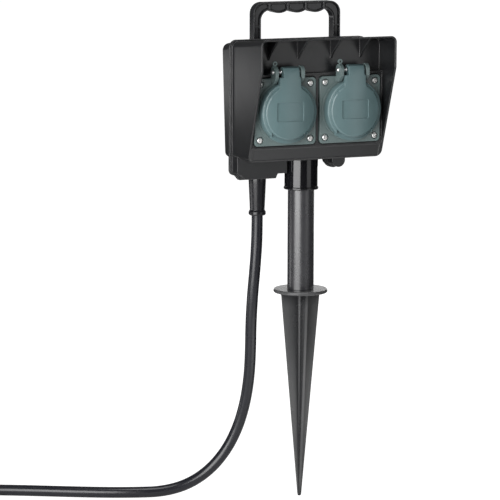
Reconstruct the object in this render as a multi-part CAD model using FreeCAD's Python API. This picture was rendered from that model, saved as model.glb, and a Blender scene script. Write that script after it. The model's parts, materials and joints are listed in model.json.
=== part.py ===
"""Two-gang garden socket box on a ground spike, with its supply cable.

Millimetres. X runs to the right seen from the front, Y to the back, Z up.
The origin lies on the axis of the pole, on the underside of the round plate
that stops the spike at the surface of the soil.
"""
import FreeCAD, Part
import math
import os

V = FreeCAD.Vector

# Ground plate and spike
PLATE_R = 20.4
PLATE_T = 2.7
PLATE_EDGE = 0.6
SPIKE_LENGTH = 157.7
SIDE_FIN_HALF = 15.6
FRONT_FIN_HALF = 11.6
FIN_ROOT = 1.2
FIN_ROOT_Z = 2.0
FIN_T = 2.0
FIN_TIP_HALF = 1.2
CORE_R_TOP = 2.6
CORE_R_TIP = 1.1
SPIGOT_LENGTH = 29.0

# Pole, which carries the housing at its top
POLE_R = 10.0
POLE_WALL = 1.5
POLE_TOP = 113.7
POLE_IN_HOUSING = 10.4

# Collar that takes the pole
COLLAR_R = 12.65
COLLAR_DROP = 24.6
COLLAR_CAP_T = 2.5
COLLAR_LIP_R = 13.2
COLLAR_LIP_H = 1.8
COLLAR_FLANGE_R = 15.5
COLLAR_FLANGE_T = 2.2
COLLAR_SHOULDER_R = 14.2
COLLAR_SHOULDER_T = 1.6
POLE_SCREW_RISE = 11.3
POLE_SCREW_R = 1.9
POLE_SCREW_HEAD_R = 3.4
POLE_SCREW_HEAD_T = 2.2

# Sockets
SOCKET_GAP = 3.2
FLANGE_SIZE = 50.0
FLANGE_Y = -28.0
FLANGE_T = 3.0
FLANGE_CORNER_R = 3.0
FLANGE_EDGE_R = 0.6
FLANGE_GAP = 0.8
GASKET_T = 1.0
GASKET_INSET = 1.2
COLLAR_RIM_R = 23.4
COLLAR_RIM_H = 0.9
WELL_R = 19.6
WELL_DEPTH = 17.5
HOLE_INSET = 4.5
FLANGE_SCREW_R = 1.45
FLANGE_SCREW_HEAD_R = 2.3
FLANGE_SCREW_HEAD_T = 1.7
FLANGE_SCREW_LENGTH = 11.0
COUNTERBORE_R = 2.8
COUNTERBORE_DEPTH = 1.3
SCREW_BOSS_R = 3.2
SCREW_BOSS_LENGTH = 10.0
PIN_PITCH = 19.0
PIN_HOLE_R = 2.7
CUP_WALL = 1.8
CUP_RIM_R = 23.3
CUP_RIM_T = 0.9
CUP_FLOOR_T = 1.6
SHUTTER_ROOM = 2.0
SHUTTER_T = 1.2
SHUTTER_R = 14.3
SHUTTER_TURN = 35.0
SHUTTER_WINDOW_R = 2.9
SHUTTER_PIN_R = 1.5
SHUTTER_PLAY = 0.08
CARRIER_R = 21.0
CARRIER_T = 2.0
TOWER_R = 4.9
TOWER_LENGTH = 8.1
SLEEVE_R = 3.2
SLEEVE_BORE_R = 2.45
SLEEVE_TAIL = 1.0
CARRIER_SCREW_CIRCLE = 18.4
CARRIER_SCREW_R = 1.0
CARRIER_SCREW_HEAD_R = 1.8
CARRIER_SCREW_HEAD_T = 1.3
CARRIER_SCREW_BITE = 2.6
EARTH_WIDTH = 6.0
EARTH_T = 0.8
EARTH_CLIP_DEPTH = 17.6
EARTH_ARM_INNER = 22.0
EARTH_LIP_BACK = 9.1
EARTH_LIP_LENGTH = 2.4
KEY_DEPTH = 2.4
KEY_HALF = 2.4

# Housing, as two shells that meet at the seam
WALL = 2.4
HOOD_WALL = 1.5
ROOF_WALL = 1.3
SIDE_MARGIN = 2.0
SILL_HEIGHT = 10.55
SILL_GAP = 1.55
SILL_BORDER = 0.95
SILL_BORDER_SIDE = 3.2
SILL_RECESS = 0.6
HEADROOM = 24.9
HOOD_RISE = 4.9
HOOD_FRONT_Y = -47.4
HOOD_KINK_RISE = 6.6
HOOD_EDGE_R = 0.45
SILL_BOTTOM_Y = -23.9
SEAM_FRONT_Y = 5.2
SEAL_T = 1.2
SEAL_INSET = 0.6
RIM_WIDTH = 1.45
RIM_PROUD = 1.25
TOP_CORNER_R = 4.5
BOTTOM_CORNER_R = 5.0
REAR_TOP_Y = 24.0
REAR_BOTTOM_Y = 18.5
REAR_TOP_DROP = 2.6
REAR_TOP_CORNER_R = 5.5
REAR_BOTTOM_CORNER_R = 4.0
REAR_EDGE_R = 2.6

# Panel that carries the two sockets, and the ribs under the roof
PANEL_Y = -22.0
PLATFORM_Y = -26.6
PLATFORM_RISE = 2.6
RIB_X = (13.5, 37.8)
RIB_T = 1.4
RIB_TIP_RISE = 12.65
RIB_FRONT_Y = -38.3
RIB_STEP = (3.6, 4.4)
RIB_FRONT_STEP = (3.2, 3.0)

# Cable compartment under the left half, and the screw lug under the right half
BAY_DROP = 11.6
BAY_RIGHT_X = -14.4
BAY_FRONT_Y = -5.5
BAY_REAR_Y = 14.6
BAY_REAR_INSET = 2.7
BAY_CORNER_R = 3.0
STEP_LEFT_SLOPE = 3.6
STEP_RIGHT_X = -23.6
STEP_RIGHT_SLOPE = 1.7
STEP_DROP = 3.45
LUG_X = 28.7
LUG_HALF = 5.3
LUG_DROP = 9.1
LUG_REAR_Y = 12.5

# Housing screws
SCREW_R = 1.45
SCREW_HEAD_R = 2.9
SCREW_HEAD_T = 2.2
SCREW_SEAT_DEPTH = 7.0
SHORT_SCREW_SEAT_DEPTH = 3.6
SCREW_REACH = 9.0
SHORT_SCREW_REACH = 4.6
SCREW_TIP_ROOM = 0.5
BOSS_R = 3.2
HEAD_BOSS_WALL = 1.0
CORNER_SCREW_INSET = 5.8
TOP_SCREW_DROP = 7.6
BOTTOM_SCREW_RISE = 6.1
BAY_SCREW_INSET = 6.9
BAY_SCREW_RISE = 6.0

# Carry handle
HANDLE_HALF = 35.8
HANDLE_RISE = 28.2
HANDLE_Y = 11.9
HANDLE_DEPTH = 7.6
HANDLE_LEG = 5.9
HANDLE_CORNER_R = 8.6
HANDLE_RIM = 0.75
HANDLE_GROOVE = 1.0
HANDLE_WEB_T = 2.0
HANDLE_PAD_T = 4.8
HANDLE_BAR_RISE = 9.3
HANDLE_BAR_T = 1.0
GRIP_CUSP_DROP = 5.9
GRIP_BULGE_DROP = 8.3
GRIP_PITCH = 15.0
GRIP_RIB_T = 1.7
GRIP_RIB_DEPTH = 6.8
FOOT_DROP = 7.3
FOOT_T = 2.4
FOOT_PROUD = 1.0

# Lid and hinge
PIN_Y = -31.8
PIN_RISE = 4.8
HINGE_PIN_R = 1.1
HINGE_PIN_HEAD_R = 1.75
HINGE_PIN_HEAD_T = 1.2
EAR_INNER = 9.3
EAR_T = 2.6
EAR_R = 4.3
EAR_PLAY = 0.05
HINGE_PLAY = 0.1
EYELET_R = 1.75
EYELET_HOLE_R = 0.85
EYELET_RISE = 6.2
EYELET_T = 1.4
LID_R = 22.3
LID_REAR_Y = -29.4
LID_RING_Y = -35.4
LID_RING_EDGE_R = 1.0
LID_DISC_Y = -37.0
LID_DISC_R = 20.2
LID_DISC_EDGE_R = 1.3
LID_WALL = 1.6
LID_ARM_HALF = 8.3
LID_FLARE_R = 7.0
LID_KNUCKLE_LEFT = -5.2
LID_KNUCKLE_RIGHT = 7.4
LID_LABEL_WIDTH = 21.4
LID_LABEL_HEIGHT = 14.2
LID_LABEL_RISE = 0.6
LID_LABEL_DEPTH = 0.5
LID_NOTCH_HALF = 14.3
LID_NOTCH_Y = -32.5
LID_NOTCH_DROP = 12.0
LID_LIP_R = 23.2
LID_LIP_T = 2.2
LID_SEAL_INNER = 19.0
LID_SEAL_OUTER = 20.8
LID_SEAL_FRONT_Y = -31.2
LID_SEAL_GAP = 0.3
SPRING_WIRE_R = 0.35
SPRING_COIL_R = 1.85
SPRING_TURNS = 4
SPRING_PITCH = 0.82

# Strain relief, cable and its fittings inside the compartment
CABLE_R = 4.25
CABLE_X = -34.6
CABLE_Y = 3.5
RELIEF_LENGTH = 28.05
RELIEF_LIP_R = 6.5
RELIEF_LOWER_R = 5.6
RELIEF_UPPER_R = 6.6
RELIEF_NECK_R = 5.5
RELIEF_TOP_RISE = 1.5
CLAMP_RISE = 2.4
CLAMP_HEIGHT = 3.2
CLAMP_HALF = 9.0
CLAMP_T = 2.6
CLAMP_SCREW_OFFSET = 6.9
CLAMP_SCREW_R = 1.25
CLAMP_SCREW_HEAD_R = 1.9
CLAMP_SCREW_HEAD_T = 1.4
CLAMP_POST_WALL = 1.1
SHEATH_RISE = 1.2
TERMINAL_PITCH = 6.1
TERMINAL_RISE = 0.4
TERMINAL_HEIGHT = 9.4
TERMINAL_Y = (-6.0, 8.0)
TERMINAL_HALF = 9.4
TERMINAL_POLE_Y = 1.0
TERMINAL_SLEEVE_R = 2.4
TERMINAL_BORE_R = 1.35
TERMINAL_SCREW_R = 1.2
TERMINAL_SCREW_INSET = 2.3

# Cores and wires between the cable, the terminals and the sockets
CORE_R = 1.1
CORE_OFFSET = 1.8
CORE_STUB = 2.4
WIRE_SPLIT = 1.8
LIVE_RISE = (6.0, 15.0)
LIVE_FEED_Y = 9.5
LIVE_LINK_Y = 13.0
LIVE_LINK_RISE = 10.0
NEUTRAL_RISE = (4.0, 11.0)
NEUTRAL_SIDESTEP = 5.0
NEUTRAL_FEED_Y = 11.0
NEUTRAL_LINK_Y = 9.0
NEUTRAL_LINK_RISE = 5.0
EARTH_RISE = 2.6
EARTH_JOIN_DROP = 17.4
EARTH_LINK_Y = 4.5
EARTH_SPLIT = 1.5
WIRE_IN_TERMINAL = 4.0

# Clearance between pieces that are only put together
FIT = 0.1

# Longer than the object, for tools that cut right through
BEYOND = 400.0

# Places that follow from the sizes above
SOCKET_X = (FLANGE_SIZE + SOCKET_GAP) / 2
HOLE_PITCH = FLANGE_SIZE - 2 * HOLE_INSET
FLOOR_Z = POLE_TOP - POLE_IN_HOUSING
SILL_TOP_Z = FLOOR_Z + SILL_HEIGHT
FLANGE_BOTTOM_Z = SILL_TOP_Z + SILL_GAP
SOCKET_Z = FLANGE_BOTTOM_Z + FLANGE_SIZE / 2
FLANGE_TOP_Z = FLANGE_BOTTOM_Z + FLANGE_SIZE
PIN_Z = FLANGE_TOP_Z + PIN_RISE
PLATFORM_TOP_Z = FLANGE_TOP_Z + PLATFORM_RISE
HOOD_KINK_Z = FLANGE_TOP_Z + HOOD_KINK_RISE
RIB_TIP_Z = FLANGE_TOP_Z + RIB_TIP_RISE
TOP_Z_SEAM = FLANGE_TOP_Z + HEADROOM
HOOD_TOP_Z = TOP_Z_SEAM + HOOD_RISE
HALF_WIDTH = SOCKET_X + FLANGE_SIZE / 2 + SIDE_MARGIN + HOOD_WALL
INNER_HALF = HALF_WIDTH - WALL
COLLAR_BOTTOM = FLOOR_Z - COLLAR_DROP
COLLAR_TOP = POLE_TOP + COLLAR_CAP_T
POLE_SCREW_Z = COLLAR_BOTTOM + POLE_SCREW_RISE
BAY_BOTTOM_Z = FLOOR_Z - BAY_DROP
STEP_BOTTOM_Z = BAY_BOTTOM_Z - STEP_DROP
LUG_CENTRE_Z = FLOOR_Z - LUG_DROP + LUG_HALF
CORNER_SCREW_X = HALF_WIDTH - CORNER_SCREW_INSET
TOP_SCREW_Z = TOP_Z_SEAM - TOP_SCREW_DROP
BOTTOM_SCREW_Z = FLOOR_Z + BOTTOM_SCREW_RISE
BAY_SCREW = (-HALF_WIDTH + BAY_SCREW_INSET, BAY_BOTTOM_Z + BAY_SCREW_RISE)
LUG_SCREW = (LUG_X, LUG_CENTRE_Z)
HANDLE_TOP_Z = TOP_Z_SEAM + HANDLE_RISE
GRIP_CUSP_Z = HANDLE_TOP_Z - GRIP_CUSP_DROP
GRIP_BULGE_Z = HANDLE_TOP_Z - GRIP_BULGE_DROP
FOOT_Z = TOP_Z_SEAM - FOOT_DROP
RELIEF_BOTTOM_Z = STEP_BOTTOM_Z - RELIEF_LENGTH
CLAMP_Z = (BAY_BOTTOM_Z + CLAMP_RISE, BAY_BOTTOM_Z + CLAMP_RISE + CLAMP_HEIGHT)
SHEATH_END_Z = CLAMP_Z[1] + SHEATH_RISE
TERMINAL_Z = (FLOOR_Z + WALL + TERMINAL_RISE, FLOOR_Z + WALL + TERMINAL_RISE + TERMINAL_HEIGHT)
SEAM_REAR_Y = SEAM_FRONT_Y + SEAL_T
SCREW_SEAT_Y = SEAM_REAR_Y + SCREW_SEAT_DEPTH
SHORT_SCREW_SEAT_Y = SEAM_REAR_Y + SHORT_SCREW_SEAT_DEPTH
FLANGE_BACK_Y = FLANGE_Y + FLANGE_T
SEAT_Y = FLANGE_BACK_Y + GASKET_T
SCREW_BOSS_REAR_Y = SEAT_Y + SCREW_BOSS_LENGTH
WELL_FLOOR_Y = FLANGE_Y + WELL_DEPTH
CUP_FLOOR_BACK_Y = WELL_FLOOR_Y + CUP_FLOOR_T
CARRIER_Y = CUP_FLOOR_BACK_Y + SHUTTER_ROOM
CARRIER_BACK_Y = CARRIER_Y + CARRIER_T
TOWER_END_Y = CARRIER_BACK_Y + TOWER_LENGTH
SLEEVE_END_Y = TOWER_END_Y + SLEEVE_TAIL
STRAP_BACK_Y = CARRIER_BACK_Y + FIT + EARTH_T
POCKET = FLANGE_SIZE + 2 * FLANGE_GAP
SIDES = (("left", -1), ("right", 1))

# Cable on the ground: route outside the strain relief, then the stored coil and the plug
GROUND_Z = -SPIKE_LENGTH
LAID_Z = GROUND_Z + CABLE_R
CABLE_ROUTE = [
    (CABLE_X, CABLE_Y, RELIEF_BOTTOM_Z),
    (CABLE_X, CABLE_Y, 44.0),
    (-35.9, 3.8, 22.0),
    (-37.7, 4.8, -1.0),
    (-38.1, 6.6, -23.0),
    (-37.2, 9.0, -44.0),
    (-36.9, 12.0, -65.0),
    (-38.7, 15.5, -86.0),
    (-43.2, 19.5, -106.0),
    (-51.3, 23.7, -124.0),
    (-63.4, 28.3, -139.0),
    (-79.2, 33.0, -149.2),
    (-97.5, 37.2, LAID_Z),
    (-116.5, 42.3, LAID_Z),
    (-138.0, 51.5, LAID_Z),
    (-163.0, 65.5, LAID_Z),
    (-190.0, 81.5, LAID_Z),
    (-216.0, 95.5, LAID_Z),
    (-238.0, 106.0, LAID_Z),
    (-263.0, 119.5, LAID_Z),
]
RUN_SHARE = 0.45
COIL_TURNS = 3.34
COIL_MEAN_R = 48.5
COIL_PITCH = 9.3
COIL_SOFTEN = 0.8
COIL_STEPS_PER_TURN = 8
TAIL_LENGTH = 26.0

# Plug
PLUG_R = 18.7
PLUG_FACE_LENGTH = 17.0
PLUG_NECK_R = 13.6
PLUG_BODY_LENGTH = 44.0
PLUG_GUARD_LENGTH = 22.0
PLUG_PIN_R = 2.4
PLUG_PIN_LENGTH = 19.0
PLUG_NOTCH_HALF = 2.8
PLUG_NOTCH_DEPTH = 2.6
PLUG_EARTH_LENGTH = 15.0


def box(x0, x1, y0, y1, z0, z1):
    return Part.makeBox(x1 - x0, y1 - y0, z1 - z0, V(x0, y0, z0))


def rod(radius, start, end):
    a = V(*start)
    b = V(*end)
    return Part.makeCylinder(radius, (b - a).Length, a, b - a)


def pipe(outer, inner, start, end):
    return rod(outer, start, end).cut(rod(inner, start, end))


def fuse(shapes):
    whole = shapes[0]
    if len(shapes) > 1:
        whole = whole.fuse(shapes[1:])
    return whole.removeSplitter()


def cut(shape, tools):
    return shape.cut(tools)


def side_plate(points, x0, x1):
    """A plate outlined in Y and Z, from x0 to x1."""
    ring = [V(x0, y, z) for y, z in points]
    face = Part.Face(Part.makePolygon(ring + [ring[0]]))
    return face.extrude(V(x1 - x0, 0, 0))


def front_plate(points, y0, y1):
    """A plate outlined in X and Z, from y0 to y1."""
    ring = [V(x, y0, z) for x, z in points]
    face = Part.Face(Part.makePolygon(ring + [ring[0]]))
    return face.extrude(V(0, y1 - y0, 0))


def rounded_plate(x0, x1, z0, z1, radius, y0, y1):
    """A plate with rounded corners seen from the front."""
    plate = box(x0, x1, y0, y1, z0, z1)
    along_y = [e for e in plate.Edges if abs(e.tangentAt(e.FirstParameter).y) > 0.99]
    return plate.makeFillet(radius, along_y)


def edges_along(shape, axis, keep=lambda point: True):
    """Straight edges along x, y or z whose middle passes the test."""
    found = []
    for edge in shape.Edges:
        if edge.Curve.TypeId != "Part::GeomLine":
            continue
        way = edge.tangentAt(edge.FirstParameter)
        if abs(getattr(way, axis)) > 0.9 and keep(edge.CenterOfMass):
            found.append(edge)
    return found


def turned(profile, origin, direction):
    """A solid of revolution: profile pairs are (radius, distance along the axis)."""
    points = [V(r, 0, s) for r, s in profile]
    face = Part.Face(Part.makePolygon(points + [points[0]]))
    solid = face.revolve(V(0, 0, 0), V(0, 0, 1), 360)
    solid.Placement = FreeCAD.Placement(
        V(*origin), FreeCAD.Rotation(V(0, 0, 1), V(*direction))
    )
    return solid


def arc_between(start, way, end):
    """The arc that leaves start along way and ends at end."""
    chord = end - start
    along = V(chord).normalize()
    side = way - along * way.dot(along)
    if side.Length < 1e-6:
        return Part.LineSegment(start, end).toShape()
    side.normalize()
    angle = way.getAngle(along)
    rise = chord.Length / 2 * math.tan(angle / 2)
    return Part.Arc(start, (start + end) * 0.5 + side * rise, end).toShape()


def biarc(p0, t0, p1, t1):
    """Two arcs that join p0 to p1 and leave them along t0 and t1."""
    span = p1 - p0
    both = t0 + t1
    bend = 2 * (1 - t0.dot(t1))
    if bend < 1e-9:
        reach = span.dot(span) / (4 * span.dot(t1))
    else:
        lead = span.dot(both)
        reach = (-lead + math.sqrt(lead**2 + bend * span.dot(span))) / bend
    middle = (p0 + p1 + (t0 - t1) * reach) * 0.5
    first = arc_between(p0, t0, middle)
    second = arc_between(p1, t1 * -1, middle)
    return [first, second]


def swept(edges, radius, start, way):
    """A round tube along the edges."""
    path = Part.Wire(Part.__sortEdges__(edges))
    ring = Part.Wire(Part.makeCircle(radius, start, way))
    return path.makePipeShell([ring], True, False)


def bent_tube(points, radius, share=RUN_SHARE):
    """A tube of straight runs joined by tangent arcs, with the arcs' least radius."""
    corners = [V(*p) for p in points]
    edges = []
    here = corners[0]
    least = 1e9
    for i in range(1, len(corners) - 1):
        into = corners[i] - corners[i - 1]
        out = corners[i + 1] - corners[i]
        cut_back = share * min(into.Length, out.Length)
        half = into.getAngle(out) / 2
        least = min(least, cut_back / math.tan(half))
        into.normalize()
        out.normalize()
        begin = corners[i] - into * cut_back
        end = corners[i] + out * cut_back
        edges.append(Part.LineSegment(here, begin).toShape())
        edges.append(arc_between(begin, into, end))
        here = end
    edges.append(Part.LineSegment(here, corners[-1]).toShape())
    length = sum(e.Length for e in edges)
    return swept(edges, radius, corners[0], corners[1] - corners[0]), least, length


def cross_screw(radius, length, head_r, head_t, seat, way):
    """A domed screw with a cross recess. The seat is under its head and way is where the head points."""
    dome = 0.35 * head_t
    shank = turned([(0, -length), (radius * 0.55, -length), (radius, -length + radius), (radius, 0), (0, 0)],
                   (0, 0, 0), (0, 0, 1))
    head = turned([(0, 0), (head_r, 0), (head_r, head_t - dome), (0.6 * head_r, head_t), (0, head_t)],
                  (0, 0, 0), (0, 0, 1))
    slot = 0.22 * head_r
    arm = 0.62 * head_r
    deep = 0.55 * head_t
    recess = fuse([box(-arm, arm, -slot, slot, head_t - deep, head_t + 1),
                   box(-slot, slot, -arm, arm, head_t - deep, head_t + 1)])
    screw = cut(fuse([shank, head]), [recess])
    screw.Placement = FreeCAD.Placement(V(*seat), FreeCAD.Rotation(V(0, 0, 1), V(*way)))
    return screw


def save(name, shape):
    solids = shape.Solids
    for solid in solids:
        if not solid.isValid() or solid.Volume <= 0:
            print("check", name, solid.isValid(), solid.Volume)
    whole = solids[0] if len(solids) == 1 else Part.makeCompound(solids)
    whole.exportStep("parts/" + name + ".step")
    low = whole.BoundBox
    print("%-26s %2d solids  %9.1f mm3  z %.1f to %.1f"
          % (name, len(solids), whole.Volume, low.ZMin, low.ZMax))


# Outline of the housing at the seam

def seam_outline(grow, y0, y1):
    """The housing's outline seen from the front, grown all round by one amount."""
    main = box(-HALF_WIDTH - grow, HALF_WIDTH + grow, y0, y1, FLOOR_Z - grow, TOP_Z_SEAM + grow)
    top = edges_along(main, "y", lambda p: p.z > SOCKET_Z)
    main = main.makeFillet(TOP_CORNER_R + grow, top)
    low = edges_along(main, "y", lambda p: p.z < SOCKET_Z and p.x > 0)
    main = main.makeFillet(BOTTOM_CORNER_R + grow, low)
    bay = bay_block(grow, -HALF_WIDTH, y0, y1)
    lug = lug_block(grow, y0, y1)
    return fuse([main, bay, lug])


def bay_block(grow, left, y0, y1):
    """The cable compartment, with the lower step that the strain relief sits in."""
    top = FLOOR_Z + BOTTOM_CORNER_R + 4
    bay = box(left - grow, BAY_RIGHT_X + grow, y0, y1, BAY_BOTTOM_Z - grow, top)
    bay = bay.makeFillet(BAY_CORNER_R + grow,
                         edges_along(bay, "y", lambda p: p.z < FLOOR_Z and p.x < SOCKET_X * -1))
    slope_x = left + BAY_CORNER_R + FIT
    step = front_plate([
        (slope_x, BAY_BOTTOM_Z - grow + 1),
        (slope_x, BAY_BOTTOM_Z - grow),
        (slope_x + STEP_LEFT_SLOPE - grow / 2, STEP_BOTTOM_Z - grow),
        (STEP_RIGHT_X + grow, STEP_BOTTOM_Z - grow),
        (STEP_RIGHT_X + STEP_RIGHT_SLOPE + grow, BAY_BOTTOM_Z - grow),
        (STEP_RIGHT_X + STEP_RIGHT_SLOPE + grow, BAY_BOTTOM_Z - grow + 1),
    ], y0, y1)
    return fuse([bay, step])


def lug_block(grow, y0, y1):
    """The rounded screw lug under the right half."""
    half = LUG_HALF + grow
    post = box(LUG_X - half, LUG_X + half, y0, y1, LUG_CENTRE_Z, FLOOR_Z + WALL / 2)
    return fuse([post, rod(half, (LUG_X, y0, LUG_CENTRE_Z), (LUG_X, y1, LUG_CENTRE_Z))])


def corner_screws():
    return [(side * CORNER_SCREW_X, z) for side in (-1, 1) for z in (TOP_SCREW_Z, BOTTOM_SCREW_Z)]


def flange_holes(cx):
    half = HOLE_PITCH / 2
    return [(cx + sx * half, SOCKET_Z + sz * half) for sx in (-1, 1) for sz in (-1, 1)]


def collar_room():
    """The space that the collar needs through the floor of both shells."""
    hole = rod(COLLAR_R + 2 * FIT, (0, 0, BAY_BOTTOM_Z), (0, 0, FLOOR_Z + WALL + 1))
    shoulder = rod(COLLAR_SHOULDER_R + 3 * FIT, (0, 0, BAY_BOTTOM_Z), (0, 0, FLOOR_Z))
    return [hole, shoulder]


def relief_room():
    """The space that the strain relief needs through the floor of the compartment."""
    neck = rod(RELIEF_NECK_R + FIT, (CABLE_X, CABLE_Y, STEP_BOTTOM_Z - 4),
               (CABLE_X, CABLE_Y, BAY_BOTTOM_Z + 4))
    below = rod(RELIEF_UPPER_R + FIT, (CABLE_X, CABLE_Y, STEP_BOTTOM_Z - 6),
                (CABLE_X, CABLE_Y, STEP_BOTTOM_Z))
    return [neck, below]


def rooms_open_to_seam():
    """The same two rooms carried on to the seam, so that the front shell can slide on from the front."""
    end = SEAM_FRONT_Y + 1
    rooms = []
    for x, y, half, low, high in (
        (0, 0, COLLAR_R + 2 * FIT, BAY_BOTTOM_Z, FLOOR_Z + WALL + 1),
        (0, 0, COLLAR_SHOULDER_R + 3 * FIT, BAY_BOTTOM_Z, FLOOR_Z),
        (CABLE_X, CABLE_Y, RELIEF_NECK_R + FIT, STEP_BOTTOM_Z - 4, BAY_BOTTOM_Z + 4),
        (CABLE_X, CABLE_Y, RELIEF_UPPER_R + FIT, STEP_BOTTOM_Z - 6, STEP_BOTTOM_Z),
    ):
        rooms.append(box(x - half, x + half, y, end, low, high))
    return rooms


def below_floor(block):
    """The part of a block that lies below the top of the housing's floor."""
    return block.common(box(-BEYOND, BEYOND, -BEYOND, BEYOND, 0, FLOOR_Z + WALL))


def hood_top_z(y):
    """Height of the outside of the hood's roof at one depth."""
    share = (SEAM_FRONT_Y - y) / (SEAM_FRONT_Y - HOOD_FRONT_Y)
    return TOP_Z_SEAM + share * (HOOD_TOP_Z - TOP_Z_SEAM)


def sill_y(z):
    """Depth of the sloping front edge of the hood at one height."""
    share = (z - FLOOR_Z) / (HOOD_KINK_Z - FLOOR_Z)
    return SILL_BOTTOM_Y + share * (HOOD_FRONT_Y - SILL_BOTTOM_Y)


def front_housing():
    hood = side_plate([
        (SEAM_FRONT_Y, FLOOR_Z),
        (SILL_BOTTOM_Y, FLOOR_Z),
        (HOOD_FRONT_Y, HOOD_KINK_Z),
        (HOOD_FRONT_Y, HOOD_TOP_Z),
        (SEAM_FRONT_Y, TOP_Z_SEAM),
    ], -HALF_WIDTH, HALF_WIDTH)
    hood = hood.makeFillet(TOP_CORNER_R, long_edges(hood, lambda p: p.z > SOCKET_Z))
    hood = hood.makeFillet(BOTTOM_CORNER_R, long_edges(hood, lambda p: p.z < FLOOR_Z + 1))
    hood_half = HALF_WIDTH - HOOD_WALL
    front_space = side_plate([
        (PANEL_Y, PLATFORM_TOP_Z),
        (PANEL_Y, hood_top_z(PANEL_Y) - ROOF_WALL),
        (HOOD_FRONT_Y - 10, hood_top_z(HOOD_FRONT_Y - 10) - ROOF_WALL),
        (HOOD_FRONT_Y - 10, SILL_TOP_Z),
        (PLATFORM_Y, SILL_TOP_Z),
        (PLATFORM_Y, PLATFORM_TOP_Z),
    ], -hood_half, hood_half)
    front_space = front_space.makeFillet(
        TOP_CORNER_R - HOOD_WALL, long_edges(front_space, lambda p: p.z > RIB_TIP_Z))
    shell = hood.cut(front_space)
    shell = soften_hood_edge(shell)

    back_y = PANEL_Y + WALL
    inside = side_plate([
        (back_y, FLOOR_Z + WALL),
        (SEAM_FRONT_Y + 1, FLOOR_Z + WALL),
        (SEAM_FRONT_Y + 1, TOP_Z_SEAM - WALL),
        (back_y, hood_top_z(back_y) - WALL),
    ], -INNER_HALF, INNER_HALF)
    behind_platform = box(-INNER_HALF, INNER_HALF, SEAT_Y + WALL, back_y + 1,
                          SILL_TOP_Z + WALL, PLATFORM_TOP_Z - WALL)
    sill_half = INNER_HALF - SILL_BORDER_SIDE
    behind_sill = box(-sill_half, sill_half, SILL_BOTTOM_Y + WALL, back_y + 1,
                      FLOOR_Z + WALL, SILL_TOP_Z - WALL)
    shell = shell.cut([inside, behind_platform, behind_sill])

    bay = below_floor(bay_block(0, -HALF_WIDTH, BAY_FRONT_Y, SEAM_FRONT_Y))
    lug = lug_block(0, BAY_FRONT_Y, SEAM_FRONT_Y)
    rim = seam_outline(RIM_PROUD, SEAM_FRONT_Y - RIM_WIDTH, SEAM_FRONT_Y)
    rim = rim.cut(seam_outline(-WALL, SEAM_FRONT_Y - RIM_WIDTH - 1, SEAM_FRONT_Y + 1))
    bosses = [rod(BOSS_R, (x, back_y - 0.5, z), (x, SEAM_FRONT_Y, z)) for x, z in corner_screws()]
    for _, side in SIDES:
        bosses += [rod(SCREW_BOSS_R, (x, SEAT_Y, z), (x, SCREW_BOSS_REAR_Y, z))
                   for x, z in flange_holes(side * SOCKET_X)]
    ribs = [hood_rib(side * x) for side in (-1, 1) for x in RIB_X]
    body = fuse([shell, bay, lug, rim] + bosses + ribs)

    body = body.cut([bay_block(-WALL, -HALF_WIDTH, BAY_FRONT_Y + WALL, SEAM_FRONT_Y + 1)])
    bay_boss = rod(BOSS_R, (BAY_SCREW[0], BAY_FRONT_Y + 1, BAY_SCREW[1]),
                   (BAY_SCREW[0], SEAM_FRONT_Y, BAY_SCREW[1]))
    posts = [rod(CLAMP_SCREW_R + CLAMP_POST_WALL, (x, BAY_FRONT_Y + 1, mid(CLAMP_Z)),
                 (x, CABLE_Y - 0.5, mid(CLAMP_Z)))
             for x in clamp_screw_x()]
    body = fuse([body, bay_boss] + posts)

    holes = []
    for _, side in SIDES:
        cx = side * SOCKET_X
        half = POCKET / 2
        holes.append(rounded_plate(cx - half, cx + half, SOCKET_Z - half, SOCKET_Z + half,
                                   FLANGE_CORNER_R + FLANGE_GAP, PLATFORM_Y - 1, SEAT_Y))
        holes.append(rod(WELL_R + CUP_WALL + 6 * FIT, (cx, SEAT_Y - 1, SOCKET_Z),
                         (cx, SEAT_Y + WALL + 1, SOCKET_Z)))
        holes += [rod(FLANGE_SCREW_R + FIT / 2, (x, SEAT_Y - 1, z),
                      (x, FLANGE_Y + COUNTERBORE_DEPTH + FLANGE_SCREW_LENGTH + SCREW_TIP_ROOM, z))
                  for x, z in flange_holes(cx)]
    holes += [rod(SCREW_R + FIT / 2, (x, SEAM_FRONT_Y - SCREW_REACH - 1, z), (x, SEAM_FRONT_Y + 1, z))
              for x, z in corner_screws()]
    holes += [rod(SCREW_R + FIT / 2, (x, SEAM_FRONT_Y - SHORT_SCREW_REACH - SCREW_TIP_ROOM, z),
                  (x, SEAM_FRONT_Y + 1, z))
              for x, z in (BAY_SCREW, LUG_SCREW)]
    holes += [rod(CLAMP_SCREW_R + FIT / 2, (x, BAY_FRONT_Y + WALL, mid(CLAMP_Z)), (x, CABLE_Y, mid(CLAMP_Z)))
              for x in clamp_screw_x()]
    holes.append(sill_recess())
    return body.cut(holes + collar_room() + relief_room() + rooms_open_to_seam())


def mid(pair):
    return (pair[0] + pair[1]) / 2


def long_edges(shape, keep):
    """Edges of a side plate that run from front to back along its outline."""
    found = []
    for edge in shape.Edges:
        way = edge.tangentAt(edge.FirstParameter)
        if abs(way.y) > 0.9 and keep(edge.CenterOfMass):
            found.append(edge)
    return found


def soften_hood_edge(shell):
    """Small rounding of the hood's free front edges, which catches the light."""
    picked = []
    for edge in shell.Edges:
        middle = edge.CenterOfMass
        if middle.z < SILL_TOP_Z:
            continue
        if abs(middle.y - sill_y(min(middle.z, HOOD_KINK_Z))) < 0.4 and middle.y < PLATFORM_Y - 2:
            picked.append(edge)
    return shell.makeFillet(min(HOOD_EDGE_R, 0.4 * ROOF_WALL), picked)


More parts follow.
